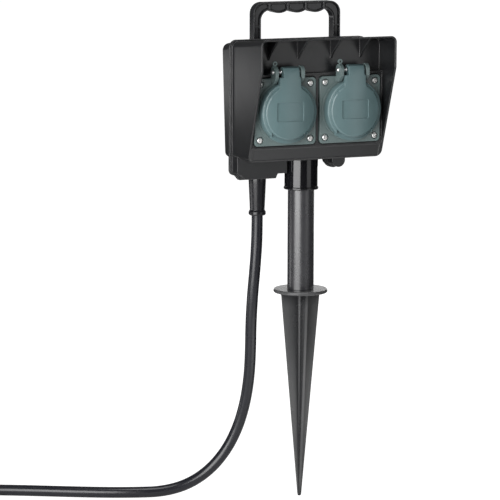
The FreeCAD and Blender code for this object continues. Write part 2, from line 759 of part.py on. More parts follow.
def hood_rib(x):
    roof = hood_top_z(PANEL_Y) - ROOF_WALL
    front_roof = hood_top_z(RIB_FRONT_Y) - ROOF_WALL
    return side_plate([
        (PANEL_Y + 1, RIB_TIP_Z),
        (PANEL_Y, RIB_TIP_Z),
        (PANEL_Y - RIB_STEP[0], RIB_TIP_Z + RIB_STEP[1]),
        (RIB_FRONT_Y + RIB_FRONT_STEP[0], front_roof - RIB_FRONT_STEP[1]),
        (RIB_FRONT_Y, front_roof),
        (RIB_FRONT_Y, front_roof + 1),
        (PANEL_Y + 1, roof + 1),
    ], x - RIB_T / 2, x + RIB_T / 2)


def sill_recess():
    """A shallow field on the sill that leaves a raised border."""
    low = FLOOR_Z + SILL_BORDER
    high = SILL_TOP_Z - SILL_BORDER
    half = HALF_WIDTH - SILL_BORDER_SIDE
    return side_plate([
        (sill_y(low) - 5, low),
        (sill_y(low) + SILL_RECESS, low),
        (sill_y(high) + SILL_RECESS, high),
        (sill_y(high) - 5, high),
    ], -half, half)


def rear_back_y(z):
    share = (z - FLOOR_Z) / (TOP_Z_SEAM - FLOOR_Z)
    return REAR_BOTTOM_Y + share * (REAR_TOP_Y - REAR_BOTTOM_Y)


def rear_housing():
    outer = side_plate([
        (SEAM_REAR_Y, FLOOR_Z),
        (SEAM_REAR_Y, TOP_Z_SEAM),
        (REAR_TOP_Y, TOP_Z_SEAM - REAR_TOP_DROP),
        (REAR_BOTTOM_Y, FLOOR_Z),
    ], -HALF_WIDTH, HALF_WIDTH)
    outer = outer.makeFillet(REAR_TOP_CORNER_R, long_edges(outer, lambda p: p.z > SOCKET_Z))
    outer = outer.makeFillet(REAR_BOTTOM_CORNER_R, long_edges(outer, lambda p: p.z < FLOOR_Z + 1))
    back = [e for e in outer.Edges if e.CenterOfMass.y > rear_back_y(e.CenterOfMass.z) - 0.6]
    outer = outer.makeFillet(REAR_EDGE_R, back)
    inner = side_plate([
        (SEAM_REAR_Y - 1, FLOOR_Z + WALL),
        (SEAM_REAR_Y - 1, TOP_Z_SEAM - WALL),
        (REAR_TOP_Y - WALL, TOP_Z_SEAM - REAR_TOP_DROP - WALL),
        (REAR_BOTTOM_Y - WALL, FLOOR_Z + WALL),
    ], -INNER_HALF, INNER_HALF)
    inner = inner.makeFillet(REAR_TOP_CORNER_R - WALL, long_edges(inner, lambda p: p.z > SOCKET_Z))
    inner = inner.makeFillet(REAR_BOTTOM_CORNER_R - WALL, long_edges(inner, lambda p: p.z < FLOOR_Z + 4))
    shell = outer.cut(inner)

    bay_left = -HALF_WIDTH + BAY_REAR_INSET
    bay = below_floor(bay_block(0, bay_left, SEAM_REAR_Y, BAY_REAR_Y))
    lug = lug_block(0, SEAM_REAR_Y, LUG_REAR_Y)
    rim = seam_outline(RIM_PROUD, SEAM_REAR_Y, SEAM_REAR_Y + RIM_WIDTH)
    rim = rim.cut(seam_outline(-WALL, SEAM_REAR_Y - 1, SEAM_REAR_Y + RIM_WIDTH + 1))
    body = fuse([shell, bay, lug, rim])
    body = body.cut([bay_block(-WALL, bay_left, SEAM_REAR_Y - 1, BAY_REAR_Y - WALL)])
    bosses = []
    for x, z in corner_screws():
        bosses.append(rod(SCREW_HEAD_R + HEAD_BOSS_WALL, (x, SEAM_REAR_Y, z), (x, rear_back_y(z) - 1, z)))
    bosses.append(rod(SCREW_HEAD_R + HEAD_BOSS_WALL, (BAY_SCREW[0], SEAM_REAR_Y, BAY_SCREW[1]),
                      (BAY_SCREW[0], BAY_REAR_Y - 1, BAY_SCREW[1])))
    for boss in bosses:
        body = fuse([body, boss])
    holes = []
    for x, z in corner_screws():
        holes.append(rod(SCREW_R + 3 * FIT, (x, SEAM_REAR_Y - 1, z), (x, SCREW_SEAT_Y + 1, z)))
        holes.append(rod(SCREW_HEAD_R + 2 * FIT, (x, SCREW_SEAT_Y, z), (x, REAR_TOP_Y + 2, z)))
    for x, z in (BAY_SCREW, LUG_SCREW):
        holes.append(rod(SCREW_R + 3 * FIT, (x, SEAM_REAR_Y - 1, z), (x, SHORT_SCREW_SEAT_Y + 1, z)))
        holes.append(rod(SCREW_HEAD_R + 2 * FIT, (x, SHORT_SCREW_SEAT_Y, z), (x, BAY_REAR_Y + 2, z)))
    for side in (-1, 1):
        centre = side * (HANDLE_HALF - HANDLE_LEG / 2)
        half = HANDLE_LEG / 2 + 2 * FIT
        deep = HANDLE_DEPTH / 2 + 2 * FIT
        holes.append(box(centre - half, centre + half, HANDLE_Y - deep, HANDLE_Y + deep,
                         TOP_Z_SEAM - WALL - REAR_TOP_DROP - 1, TOP_Z_SEAM + 1))
    return body.cut(holes + collar_room() + relief_room())


def housing_seal():
    outer = seam_outline(RIM_PROUD - SEAL_INSET, SEAM_FRONT_Y, SEAM_REAR_Y)
    inner = seam_outline(-WALL + SEAL_INSET, SEAM_FRONT_Y - 1, SEAM_REAR_Y + 1)
    ring = outer.cut(inner)
    screws = [rod(SCREW_R + 4 * FIT, (x, SEAM_FRONT_Y - 1, z), (x, SEAM_REAR_Y + 1, z))
              for x, z in [BAY_SCREW, LUG_SCREW] + corner_screws()]
    ring = ring.cut(collar_room() + relief_room() + screws)
    return Part.makeCompound([s for s in ring.Solids if s.Volume > 5])


def housing_screws(places, seat_y, reach):
    length = seat_y - SEAM_FRONT_Y + reach
    return Part.makeCompound([
        cross_screw(SCREW_R, length, SCREW_HEAD_R, SCREW_HEAD_T, (x, seat_y, z), (0, 1, 0)) for x, z in places
    ])


def carry_handle():
    front = HANDLE_Y - HANDLE_DEPTH / 2
    back = HANDLE_Y + HANDLE_DEPTH / 2
    whole = handle_outline(0, FOOT_Z, front, back).cut(grip_opening(0, FOOT_Z - 1, front - 1, back + 1))
    recess = (HANDLE_DEPTH - HANDLE_WEB_T) / 2
    whole = whole.cut([handle_band(HANDLE_RIM, front - 1, front + recess),
                       handle_band(HANDLE_RIM, back - recess, back + 1)])
    pads = handle_band(HANDLE_RIM + HANDLE_GROOVE, HANDLE_Y - HANDLE_PAD_T / 2, HANDLE_Y + HANDLE_PAD_T / 2)
    ribs = []
    gaps = []
    for i in range(4):
        x = (i - 1.5) * GRIP_PITCH
        rib = GRIP_RIB_T / 2
        gap = rib + HANDLE_GROOVE
        ribs.append(box(x - rib, x + rib, HANDLE_Y - GRIP_RIB_DEPTH / 2, HANDLE_Y + GRIP_RIB_DEPTH / 2,
                        GRIP_CUSP_Z, HANDLE_TOP_Z - HANDLE_RIM / 2))
        gaps.append(box(x - gap, x + gap, front, back, GRIP_CUSP_Z - 1, HANDLE_TOP_Z))
    leg = HANDLE_HALF - HANDLE_LEG
    bar_z = TOP_Z_SEAM + HANDLE_BAR_RISE
    inset = HANDLE_RIM / 2
    for side in (-1, 1):
        x0, x1 = sorted((side * (leg + inset), side * (HANDLE_HALF - inset)))
        ribs.append(box(x0, x1, front + inset, back - inset, bar_z, bar_z + HANDLE_BAR_T))
        x0, x1 = sorted((side * (leg - FOOT_PROUD), side * (HANDLE_HALF + FOOT_PROUD)))
        ribs.append(box(x0, x1, front - FOOT_PROUD, back + FOOT_PROUD, FOOT_Z, FOOT_Z + FOOT_T))
    return fuse([whole, pads.cut(gaps)] + ribs)


def handle_band(inset, y0, y1):
    """The handle's outline above the housing, drawn in by one amount along both of its edges."""
    opening = grip_opening(-inset, TOP_Z_SEAM, y0 - 1, y1 + 1)
    return handle_outline(-inset, TOP_Z_SEAM + 1, y0, y1).cut(opening)


def handle_outline(grow, low, y0, y1):
    half = HANDLE_HALF + grow
    block = box(-half, half, y0, y1, low, HANDLE_TOP_Z + grow)
    return block.makeFillet(HANDLE_CORNER_R + grow, edges_along(block, "y", lambda p: p.z > TOP_Z_SEAM + 5))


def grip_opening(grow, low, y0, y1):
    """The hand opening, with the scalloped edge of the grip. A negative amount makes it larger."""
    half = HANDLE_HALF - HANDLE_LEG - grow
    cusp = GRIP_CUSP_Z - grow
    edge = 1.5 * GRIP_PITCH
    inner_r = HANDLE_HALF - HANDLE_LEG - edge
    block = box(-half, half, y0, y1, low, cusp)
    block = block.makeFillet(inner_r - grow, edges_along(block, "y", lambda p: p.z > TOP_Z_SEAM + 5))
    drop = GRIP_CUSP_Z - GRIP_BULGE_Z
    radius = ((GRIP_PITCH / 2) ** 2 + drop**2) / (2 * drop)
    bulges = []
    for i in (-1, 0, 1):
        centre = (i * GRIP_PITCH, GRIP_BULGE_Z - grow + radius)
        bulges.append(rod(radius, (centre[0], y0, centre[1]), (centre[0], y1, centre[1])))
    return block.cut(bulges)


def pole_collar():
    floor_top = FLOOR_Z + WALL
    outer = turned([
        (POLE_R + FIT, COLLAR_BOTTOM),
        (COLLAR_LIP_R - 0.4, COLLAR_BOTTOM),
        (COLLAR_LIP_R, COLLAR_BOTTOM + 0.5),
        (COLLAR_LIP_R, COLLAR_BOTTOM + COLLAR_LIP_H - 0.3),
        (COLLAR_R, COLLAR_BOTTOM + COLLAR_LIP_H + 0.3),
        (COLLAR_R, FLOOR_Z - FIT - COLLAR_SHOULDER_T),
        (COLLAR_SHOULDER_R, FLOOR_Z - FIT - COLLAR_SHOULDER_T),
        (COLLAR_SHOULDER_R, FLOOR_Z - FIT),
        (COLLAR_R, FLOOR_Z - FIT),
        (COLLAR_R, floor_top + FIT),
        (COLLAR_FLANGE_R, floor_top + FIT),
        (COLLAR_FLANGE_R, floor_top + FIT + COLLAR_FLANGE_T),
        (COLLAR_R, floor_top + FIT + COLLAR_FLANGE_T),
        (COLLAR_R, COLLAR_TOP),
        (POLE_R - 3, COLLAR_TOP),
        (POLE_R - 3, POLE_TOP + FIT),
        (POLE_R + FIT, POLE_TOP + FIT),
    ], (0, 0, 0), (0, 0, 1))
    hole = rod(POLE_SCREW_R + FIT / 2, (0, POLE_R - 1, POLE_SCREW_Z), (0, COLLAR_LIP_R + 2, POLE_SCREW_Z))
    seat = rod(POLE_SCREW_HEAD_R + FIT, (0, COLLAR_R - 0.6, POLE_SCREW_Z),
               (0, COLLAR_LIP_R + 4, POLE_SCREW_Z))
    return outer.cut([hole, seat])


def pole_tube():
    tube = pipe(POLE_R, POLE_R - POLE_WALL, (0, 0, PLATE_T), (0, 0, POLE_TOP))
    return tube.cut(rod(POLE_SCREW_R + FIT / 2, (0, POLE_R - 4, POLE_SCREW_Z), (0, POLE_R + 4, POLE_SCREW_Z)))


def pole_screw():
    return cross_screw(POLE_SCREW_R, COLLAR_R - 0.6 - POLE_R + POLE_WALL + 1.5, POLE_SCREW_HEAD_R,
                       POLE_SCREW_HEAD_T, (0, COLLAR_R - 0.6, POLE_SCREW_Z), (0, 1, 0))


def ground_spike():
    plate = turned([
        (0, 0), (PLATE_R - PLATE_EDGE, 0), (PLATE_R, PLATE_EDGE), (PLATE_R, PLATE_T - PLATE_EDGE),
        (PLATE_R - PLATE_EDGE, PLATE_T), (0, PLATE_T),
    ], (0, 0, 0), (0, 0, 1))
    core = turned([
        (0, 0.5), (CORE_R_TOP, 0.5), (CORE_R_TIP, -SPIKE_LENGTH + 1),
        (0.6, -SPIKE_LENGTH), (0, -SPIKE_LENGTH),
    ], (0, 0, 0), (0, 0, 1))
    spigot_r = POLE_R - POLE_WALL - FIT
    spigot = turned([
        (0, PLATE_T / 2), (spigot_r, PLATE_T / 2),
        (spigot_r, SPIGOT_LENGTH), (spigot_r - 1.5, SPIGOT_LENGTH + 2),
        (0, SPIGOT_LENGTH + 2),
    ], (0, 0, 0), (0, 0, 1))
    tip = -SPIKE_LENGTH
    side_fin = front_plate([
        (-SIDE_FIN_HALF - FIN_ROOT, 0.5), (SIDE_FIN_HALF + FIN_ROOT, 0.5), (SIDE_FIN_HALF + FIN_ROOT, 0.0),
        (SIDE_FIN_HALF, -FIN_ROOT_Z),
        (FIN_TIP_HALF, tip + 1.2), (FIN_TIP_HALF * 0.5, tip),
        (-FIN_TIP_HALF * 0.5, tip), (-FIN_TIP_HALF, tip + 1.2),
        (-SIDE_FIN_HALF, -FIN_ROOT_Z), (-SIDE_FIN_HALF - FIN_ROOT, 0.0),
    ], -FIN_T / 2, FIN_T / 2)
    front_fin = side_plate([
        (-FRONT_FIN_HALF - FIN_ROOT, 0.5), (FRONT_FIN_HALF + FIN_ROOT, 0.5), (FRONT_FIN_HALF + FIN_ROOT, 0.0),
        (FRONT_FIN_HALF, -FIN_ROOT_Z),
        (FIN_TIP_HALF, tip + 1.2), (FIN_TIP_HALF * 0.5, tip),
        (-FIN_TIP_HALF * 0.5, tip), (-FIN_TIP_HALF, tip + 1.2),
        (-FRONT_FIN_HALF, -FIN_ROOT_Z), (-FRONT_FIN_HALF - FIN_ROOT, 0.0),
    ], -FIN_T / 2, FIN_T / 2)
    return fuse([plate, core, spigot, side_fin, front_fin])


def socket_flange(cx):
    half = FLANGE_SIZE / 2
    plate = rounded_plate(cx - half, cx + half, SOCKET_Z - half, SOCKET_Z + half,
                          FLANGE_CORNER_R, FLANGE_Y, FLANGE_BACK_Y)
    front = [e for e in plate.Edges if e.BoundBox.YMax < FLANGE_Y + 0.01]
    plate = plate.makeFillet(FLANGE_EDGE_R, front)
    rim = rod(COLLAR_RIM_R, (cx, FLANGE_Y - COLLAR_RIM_H, SOCKET_Z), (cx, FLANGE_Y + 1, SOCKET_Z))
    ears = [hinge_ear(cx - EAR_INNER - EAR_T), hinge_ear(cx + EAR_INNER)]
    eye_x = cx - EAR_INNER - EAR_T / 2
    eye_z = PIN_Z + EYELET_RISE
    eye_y = PIN_Y - EYELET_T / 2
    eyelet = rod(EYELET_R, (eye_x, eye_y, eye_z), (eye_x, eye_y + EYELET_T, eye_z))
    neck = box(eye_x - EYELET_R / 2, eye_x + EYELET_R / 2, eye_y, eye_y + EYELET_T, PIN_Z + EAR_R - 1, eye_z)
    body = fuse([plate, rim, eyelet, neck] + ears)
    tools = [
        rod(WELL_R + FIT, (cx, FLANGE_Y - 3, SOCKET_Z), (cx, FLANGE_BACK_Y + 1, SOCKET_Z)),
        rod(EYELET_HOLE_R, (eye_x, PIN_Y - 3, eye_z), (eye_x, PIN_Y + 3, eye_z)),
        rod(HINGE_PIN_R + EAR_PLAY, (cx - EAR_INNER - EAR_T - 1, PIN_Y, PIN_Z),
            (cx + EAR_INNER + EAR_T + 1, PIN_Y, PIN_Z)),
    ]
    for x, z in flange_holes(cx):
        tools.append(rod(COUNTERBORE_R, (x, FLANGE_Y - 1, z), (x, FLANGE_Y + COUNTERBORE_DEPTH, z)))
        tools.append(rod(FLANGE_SCREW_R + 2 * FIT, (x, FLANGE_Y, z), (x, FLANGE_BACK_Y + 1, z)))
    return body.cut(tools)


def hinge_ear(x0):
    """One ear that carries the hinge pin in front of the flange's top edge."""
    x1 = x0 + EAR_T
    top = FLANGE_TOP_Z
    foot = side_plate([
        (FLANGE_BACK_Y - 1.0, top - 4.4),
        (FLANGE_BACK_Y - 1.0, top - 0.6),
        (FLANGE_Y + 0.2, top),
        (PIN_Y + EAR_R, PIN_Z),
        (PIN_Y - EAR_R, PIN_Z),
        (PIN_Y - EAR_R, top + 0.6),
        (PIN_Y - 0.4, top - 3.9),
    ], x0, x1)
    return foot.fuse(rod(EAR_R, (x0, PIN_Y, PIN_Z), (x1, PIN_Y, PIN_Z)))


def flange_seal(cx):
    half = FLANGE_SIZE / 2 - GASKET_INSET
    frame = rounded_plate(cx - half, cx + half, SOCKET_Z - half, SOCKET_Z + half,
                          FLANGE_CORNER_R - 1, FLANGE_BACK_Y, SEAT_Y)
    tools = [rod(CUP_RIM_R + FIT, (cx, FLANGE_BACK_Y - 1, SOCKET_Z), (cx, SEAT_Y + 1, SOCKET_Z))]
    tools += [rod(FLANGE_SCREW_R + 3 * FIT, (x, FLANGE_BACK_Y - 1, z), (x, SEAT_Y + 1, z))
              for x, z in flange_holes(cx)]
    return frame.cut(tools)


def flange_screws(cx):
    seat = FLANGE_Y + COUNTERBORE_DEPTH
    return Part.makeCompound([
        cross_screw(FLANGE_SCREW_R, FLANGE_SCREW_LENGTH, FLANGE_SCREW_HEAD_R, FLANGE_SCREW_HEAD_T,
                    (x, seat, z), (0, -1, 0)) for x, z in flange_holes(cx)
    ])


def pin_places(cx):
    return [cx - PIN_PITCH / 2, cx + PIN_PITCH / 2]


def carrier_screw_places(cx):
    reach = CARRIER_SCREW_CIRCLE * math.sqrt(0.5)
    return [(cx + s * reach, SOCKET_Z + t * reach) for s, t in ((-1, 1), (1, -1))]


def socket_insert(cx):
    outer_r = WELL_R + CUP_WALL
    cup = rod(outer_r, (cx, FLANGE_BACK_Y, SOCKET_Z), (cx, CARRIER_Y, SOCKET_Z))
    rim = rod(CUP_RIM_R, (cx, FLANGE_BACK_Y, SOCKET_Z), (cx, FLANGE_BACK_Y + CUP_RIM_T, SOCKET_Z))
    body = cup.fuse(rim)
    body = body.cut([
        rod(WELL_R, (cx, FLANGE_BACK_Y - 1, SOCKET_Z), (cx, WELL_FLOOR_Y, SOCKET_Z)),
        rod(SHUTTER_R + 1.0, (cx, CUP_FLOOR_BACK_Y, SOCKET_Z), (cx, CARRIER_Y + 1, SOCKET_Z)),
    ])
    keys = []
    for side in (-1, 1):
        x0, x1 = sorted((cx + side * (WELL_R - KEY_DEPTH), cx + side * (WELL_R + 0.6)))
        keys.append(box(x0, x1, FLANGE_BACK_Y + 1.5, WELL_FLOOR_Y + 0.5,
                        SOCKET_Z - KEY_HALF, SOCKET_Z + KEY_HALF))
    body = fuse([body] + keys)
    holes = [rod(PIN_HOLE_R, (x, WELL_FLOOR_Y - 1, SOCKET_Z), (x, CUP_FLOOR_BACK_Y + 1, SOCKET_Z))
             for x in pin_places(cx)]
    for side in (-1, 1):
        z0, z1 = sorted((SOCKET_Z + side * (EARTH_CLIP_DEPTH - 1), SOCKET_Z + side * (outer_r + 1)))
        half = EARTH_WIDTH / 2 + 0.5
        lip_y = WELL_FLOOR_Y - EARTH_LIP_BACK
        holes.append(box(cx - half, cx + half, lip_y - 1.5, lip_y + EARTH_LIP_LENGTH + 1.1, z0, z1))
    holes += [rod(CARRIER_SCREW_R + FIT / 2, (x, CARRIER_Y - CARRIER_SCREW_BITE - 3 * FIT, z),
                  (x, CARRIER_Y + 1, z))
              for x, z in carrier_screw_places(cx)]
    return body.cut(holes)


def shutter(cx):
    """A turning guard with two windows that stand clear of the pin holes until it is turned."""
    gap = (SHUTTER_ROOM - SHUTTER_T) / 2
    y0 = CUP_FLOOR_BACK_Y + gap
    y1 = y0 + SHUTTER_T
    disc = rod(SHUTTER_R, (cx, y0, SOCKET_Z), (cx, y1, SOCKET_Z))
    tools = [rod(SHUTTER_PIN_R + SHUTTER_PLAY, (cx, y0 - 1, SOCKET_Z), (cx, y1 + 1, SOCKET_Z))]
    turn = math.radians(SHUTTER_TURN)
    for side in (-1, 1):
        x = cx + side * PIN_PITCH / 2 * math.cos(turn)
        z = SOCKET_Z + side * PIN_PITCH / 2 * math.sin(turn)
        tools.append(rod(SHUTTER_WINDOW_R, (x, y0 - 1, z), (x, y1 + 1, z)))
    for side in (-1, 1):
        tools.append(rod(SHUTTER_R * 0.42, (cx, y0 - 1, SOCKET_Z + side * SHUTTER_R * 1.1),
                         (cx, y1 + 1, SOCKET_Z + side * SHUTTER_R * 1.1)))
    return disc.cut(tools)


def contact_carrier(cx):
    plate = rod(CARRIER_R, (cx, CARRIER_Y, SOCKET_Z), (cx, CARRIER_BACK_Y, SOCKET_Z))
    stub = rod(SHUTTER_PIN_R, (cx, CUP_FLOOR_BACK_Y + FIT, SOCKET_Z), (cx, CARRIER_Y + 0.5, SOCKET_Z))
    towers = [rod(TOWER_R, (x, CARRIER_BACK_Y - 0.5, SOCKET_Z), (x, TOWER_END_Y, SOCKET_Z))
              for x in pin_places(cx)]
    body = fuse([plate, stub] + towers)
    tools = []
    for x in pin_places(cx):
        tools.append(rod(PIN_HOLE_R, (x, CARRIER_Y - 1, SOCKET_Z), (x, CARRIER_BACK_Y, SOCKET_Z)))
        tools.append(rod(SLEEVE_R + FIT, (x, CARRIER_Y + 0.5, SOCKET_Z), (x, TOWER_END_Y + 1, SOCKET_Z)))
    tools += [rod(CARRIER_SCREW_R + 2 * FIT, (x, CARRIER_Y - 1, z), (x, CARRIER_BACK_Y + 1, z))
              for x, z in carrier_screw_places(cx)]
    return body.cut(tools)


def carrier_screws(cx):
    return Part.makeCompound([
        cross_screw(CARRIER_SCREW_R, CARRIER_T + CARRIER_SCREW_BITE,
                    CARRIER_SCREW_HEAD_R, CARRIER_SCREW_HEAD_T, (x, CARRIER_BACK_Y, z), (0, 1, 0))
        for x, z in carrier_screw_places(cx)
    ])


def contact_sleeves(cx):
    sleeves = []
    y0 = CARRIER_Y + 0.5 + FIT
    for x in pin_places(cx):
        sleeve = rod(SLEEVE_R, (x, y0, SOCKET_Z), (x, SLEEVE_END_Y, SOCKET_Z))
        bore = rod(SLEEVE_BORE_R, (x, y0 - 1, SOCKET_Z), (x, SLEEVE_END_Y - 2.2, SOCKET_Z))
        slit = box(x - 4, x + 4, y0 - 1, y0 + 6, SOCKET_Z - 0.3, SOCKET_Z + 0.3)
        sleeves.append(sleeve.cut([bore, slit]))
    return Part.makeCompound(sleeves)


def earth_clips(cx):
    """One bent strip: a strap behind the carrier and a sprung lip at the top and bottom of the well."""
    back = CARRIER_BACK_Y + FIT
    lip_y = WELL_FLOOR_Y - EARTH_LIP_BACK
    outer = EARTH_ARM_INNER + EARTH_T
    x0 = cx - EARTH_WIDTH / 2
    x1 = cx + EARTH_WIDTH / 2
    pieces = [box(x0, x1, back, back + EARTH_T, SOCKET_Z - outer, SOCKET_Z + outer)]
    for side in (-1, 1):
        for y0, y1, r0, r1 in (
            (lip_y, back + EARTH_T, EARTH_ARM_INNER, outer),
            (lip_y, lip_y + EARTH_T, EARTH_CLIP_DEPTH, outer),
            (lip_y, lip_y + EARTH_LIP_LENGTH, EARTH_CLIP_DEPTH, EARTH_CLIP_DEPTH + EARTH_T),
        ):
            z0, z1 = sorted((SOCKET_Z + side * r0, SOCKET_Z + side * r1))
            pieces.append(box(x0, x1, y0, y1, z0, z1))
    return fuse(pieces)


def hinge_pin(cx):
    left = cx - EAR_INNER - EAR_T
    right = cx + EAR_INNER + EAR_T
    shaft = rod(HINGE_PIN_R, (left - 0.5, PIN_Y, PIN_Z), (right + 0.4, PIN_Y, PIN_Z))
    head = turned([
        (0, 0), (HINGE_PIN_HEAD_R, 0), (HINGE_PIN_HEAD_R, 0.35 * HINGE_PIN_HEAD_T),
        (0.62 * HINGE_PIN_HEAD_R, HINGE_PIN_HEAD_T), (0, HINGE_PIN_HEAD_T),
    ], (left - FIT / 2, PIN_Y, PIN_Z), (-1, 0, 0))
    return fuse([shaft, head])


def lid_spring(cx):
    """A wound spring round the hinge pin, between the left ear and the lid's knuckle."""
    start_x = cx - EAR_INNER + SPRING_WIRE_R + 0.12
    steps = SPRING_TURNS * 4
    edges = []
    last = None
    for i in range(steps + 1):
        angle = math.radians(90.0 * i)
        point = V(start_x + SPRING_PITCH * i / 4, PIN_Y + SPRING_COIL_R * math.cos(angle),
                  PIN_Z + SPRING_COIL_R * math.sin(angle))
        way = V(SPRING_PITCH / (2 * math.pi),
                -SPRING_COIL_R * math.sin(angle), SPRING_COIL_R * math.cos(angle))
        way.normalize()
        if last:
            edges += biarc(last[0], last[1], point, way)
        last = (point, way)
    foot = V(start_x, PIN_Y + SPRING_COIL_R, PIN_Z - 5.0)
    top = V(start_x, PIN_Y + SPRING_COIL_R, PIN_Z - 1.0)
    first_way = V(SPRING_PITCH / (2 * math.pi), 0, SPRING_COIL_R)
    first_way.normalize()
    edges = [Part.LineSegment(foot, top).toShape()] + biarc(
        top, V(0, 0, 1), V(start_x, PIN_Y + SPRING_COIL_R, PIN_Z), first_way) + edges
    return swept(edges, SPRING_WIRE_R, foot, V(0, 0, 1))


def lid(cx):
    ring = rod(LID_R, (cx, LID_RING_Y, SOCKET_Z), (cx, LID_REAR_Y, SOCKET_Z))
    front = [e for e in ring.Edges if e.BoundBox.YMax < LID_RING_Y + 0.01]
    ring = ring.makeFillet(LID_RING_EDGE_R, front)
    disc = rod(LID_DISC_R, (cx, LID_DISC_Y, SOCKET_Z), (cx, LID_RING_Y + 1, SOCKET_Z))
    front = [e for e in disc.Edges if e.BoundBox.YMax < LID_DISC_Y + 0.01]
    disc = disc.makeFillet(LID_DISC_EDGE_R, front)
    lip = rod(LID_LIP_R, (cx, LID_NOTCH_Y, SOCKET_Z), (cx, LID_NOTCH_Y + LID_LIP_T, SOCKET_Z))
    notch_x = (cx - LID_NOTCH_HALF, cx + LID_NOTCH_HALF)
    notch_top = SOCKET_Z - LID_NOTCH_DROP
    lip = lip.common(box(*notch_x, -BEYOND, 0, 0, notch_top))
    notch = box(*notch_x, -BEYOND, LID_NOTCH_Y, 0, notch_top)
    notch = notch.cut(rod(LID_DISC_R, (cx, -BEYOND, SOCKET_Z), (cx, 0, SOCKET_Z)))
    body = fuse([ring.cut(notch), disc, lip, lid_arm(cx)])
    inside_y = LID_DISC_Y + LID_WALL
    label_z = SOCKET_Z + LID_LABEL_RISE
    tools = [
        rod(LID_SEAL_INNER - 0.4, (cx, inside_y, SOCKET_Z), (cx, LID_REAR_Y + 1, SOCKET_Z)),
        rod(LID_SEAL_OUTER + FIT, (cx, LID_SEAL_FRONT_Y, SOCKET_Z), (cx, LID_REAR_Y + 1, SOCKET_Z)),
        rod(HINGE_PIN_R + HINGE_PLAY, (cx - EAR_INNER, PIN_Y, PIN_Z), (cx + EAR_INNER, PIN_Y, PIN_Z)),
        rounded_plate(cx - LID_LABEL_WIDTH / 2, cx + LID_LABEL_WIDTH / 2,
                      label_z - LID_LABEL_HEIGHT / 2, label_z + LID_LABEL_HEIGHT / 2,
                      1.2, LID_DISC_Y - 1, LID_DISC_Y + LID_LABEL_DEPTH),
    ]
    return body.cut(tools)


def lid_arm(cx):
    """The arm that joins the lid's disc to its knuckle, with flared roots."""
    root_z = SOCKET_Z + 0.6 * LID_DISC_R
    profile = [
        (LID_DISC_Y, root_z),
        (LID_DISC_Y, PIN_Z - 6),
        (PIN_Y - 4.5, PIN_Z + 0.4),
        (PIN_Y - 3.4, PIN_Z + 2.9),
        (PIN_Y - 0.6, PIN_Z + 3.8),
        (PIN_Y + 2.3, PIN_Z + 2.9),
        (PIN_Y + 3.4, PIN_Z + 0.4),
        (PIN_Y + 2.9, PIN_Z - 1.8),
        (PIN_Y + 0.6, PIN_Z - 3.6),
        (PIN_Y - 1.4, PIN_Z - 5.0),
        (PIN_Y - 1.4, root_z),
    ]
    knuckle = side_plate(profile, cx + LID_KNUCKLE_LEFT, cx + LID_KNUCKLE_RIGHT)
    arm_top = PIN_Z - 3.9
    arm = side_plate([(LID_DISC_Y, root_z), (LID_DISC_Y, PIN_Z - 6), (LID_DISC_Y + 0.3, arm_top),
                      (PIN_Y - 1.4, arm_top), (PIN_Y - 1.4, root_z)], cx - LID_ARM_HALF, cx + LID_ARM_HALF)
    top = SOCKET_Z + LID_DISC_R + 0.4
    roots = []
    for side in (-1, 1):
        scoop_x = cx + side * (LID_ARM_HALF + LID_FLARE_R)
        x0, x1 = sorted((cx + side * (LID_ARM_HALF - 0.5), scoop_x))
        block = box(x0, x1, LID_DISC_Y, PIN_Y - 1.4, root_z, top)
        roots.append(block.cut(rod(LID_FLARE_R, (scoop_x, -BEYOND, top), (scoop_x, 0, top))))
    return fuse([knuckle, arm] + roots)


def lid_seal(cx):
    rear = FLANGE_Y - COLLAR_RIM_H - LID_SEAL_GAP
    return pipe(LID_SEAL_OUTER, LID_SEAL_INNER, (cx, LID_SEAL_FRONT_Y, SOCKET_Z), (cx, rear, SOCKET_Z))


def strain_relief():
    top = BAY_BOTTOM_Z + RELIEF_TOP_RISE
    return turned([
        (CABLE_R + FIT / 2, RELIEF_BOTTOM_Z),
        (RELIEF_LIP_R - 0.7, RELIEF_BOTTOM_Z),
        (RELIEF_LIP_R, RELIEF_BOTTOM_Z + 0.8),
        (RELIEF_LIP_R, RELIEF_BOTTOM_Z + 2.6),
        (RELIEF_LOWER_R, RELIEF_BOTTOM_Z + 4.0),
        (RELIEF_UPPER_R, STEP_BOTTOM_Z - 2.0),
        (RELIEF_UPPER_R, STEP_BOTTOM_Z - FIT),
        (RELIEF_NECK_R, STEP_BOTTOM_Z - FIT),
        (RELIEF_NECK_R, STEP_BOTTOM_Z + WALL + FIT),
        (RELIEF_UPPER_R, STEP_BOTTOM_Z + WALL + FIT),
        (RELIEF_UPPER_R, top),
        (CABLE_R + FIT / 2, top),
    ], (CABLE_X, CABLE_Y, 0), (0, 0, 1))


def clamp_screw_x():
    return [CABLE_X - CLAMP_SCREW_OFFSET, CABLE_X + CLAMP_SCREW_OFFSET]


def cable_clamp():
    y0 = CABLE_Y + CABLE_R - 1.6
    bar = box(CABLE_X - CLAMP_HALF, CABLE_X + CLAMP_HALF, y0, y0 + 1.6 + CLAMP_T, CLAMP_Z[0], CLAMP_Z[1])
    tools = [rod(CABLE_R + FIT / 2, (CABLE_X, CABLE_Y, CLAMP_Z[0] - 1), (CABLE_X, CABLE_Y, CLAMP_Z[1] + 1))]
    tools += [rod(CLAMP_SCREW_R + FIT, (x, y0 - 1, mid(CLAMP_Z)), (x, y0 + 9, mid(CLAMP_Z)))
              for x in clamp_screw_x()]
    return bar.cut(tools)


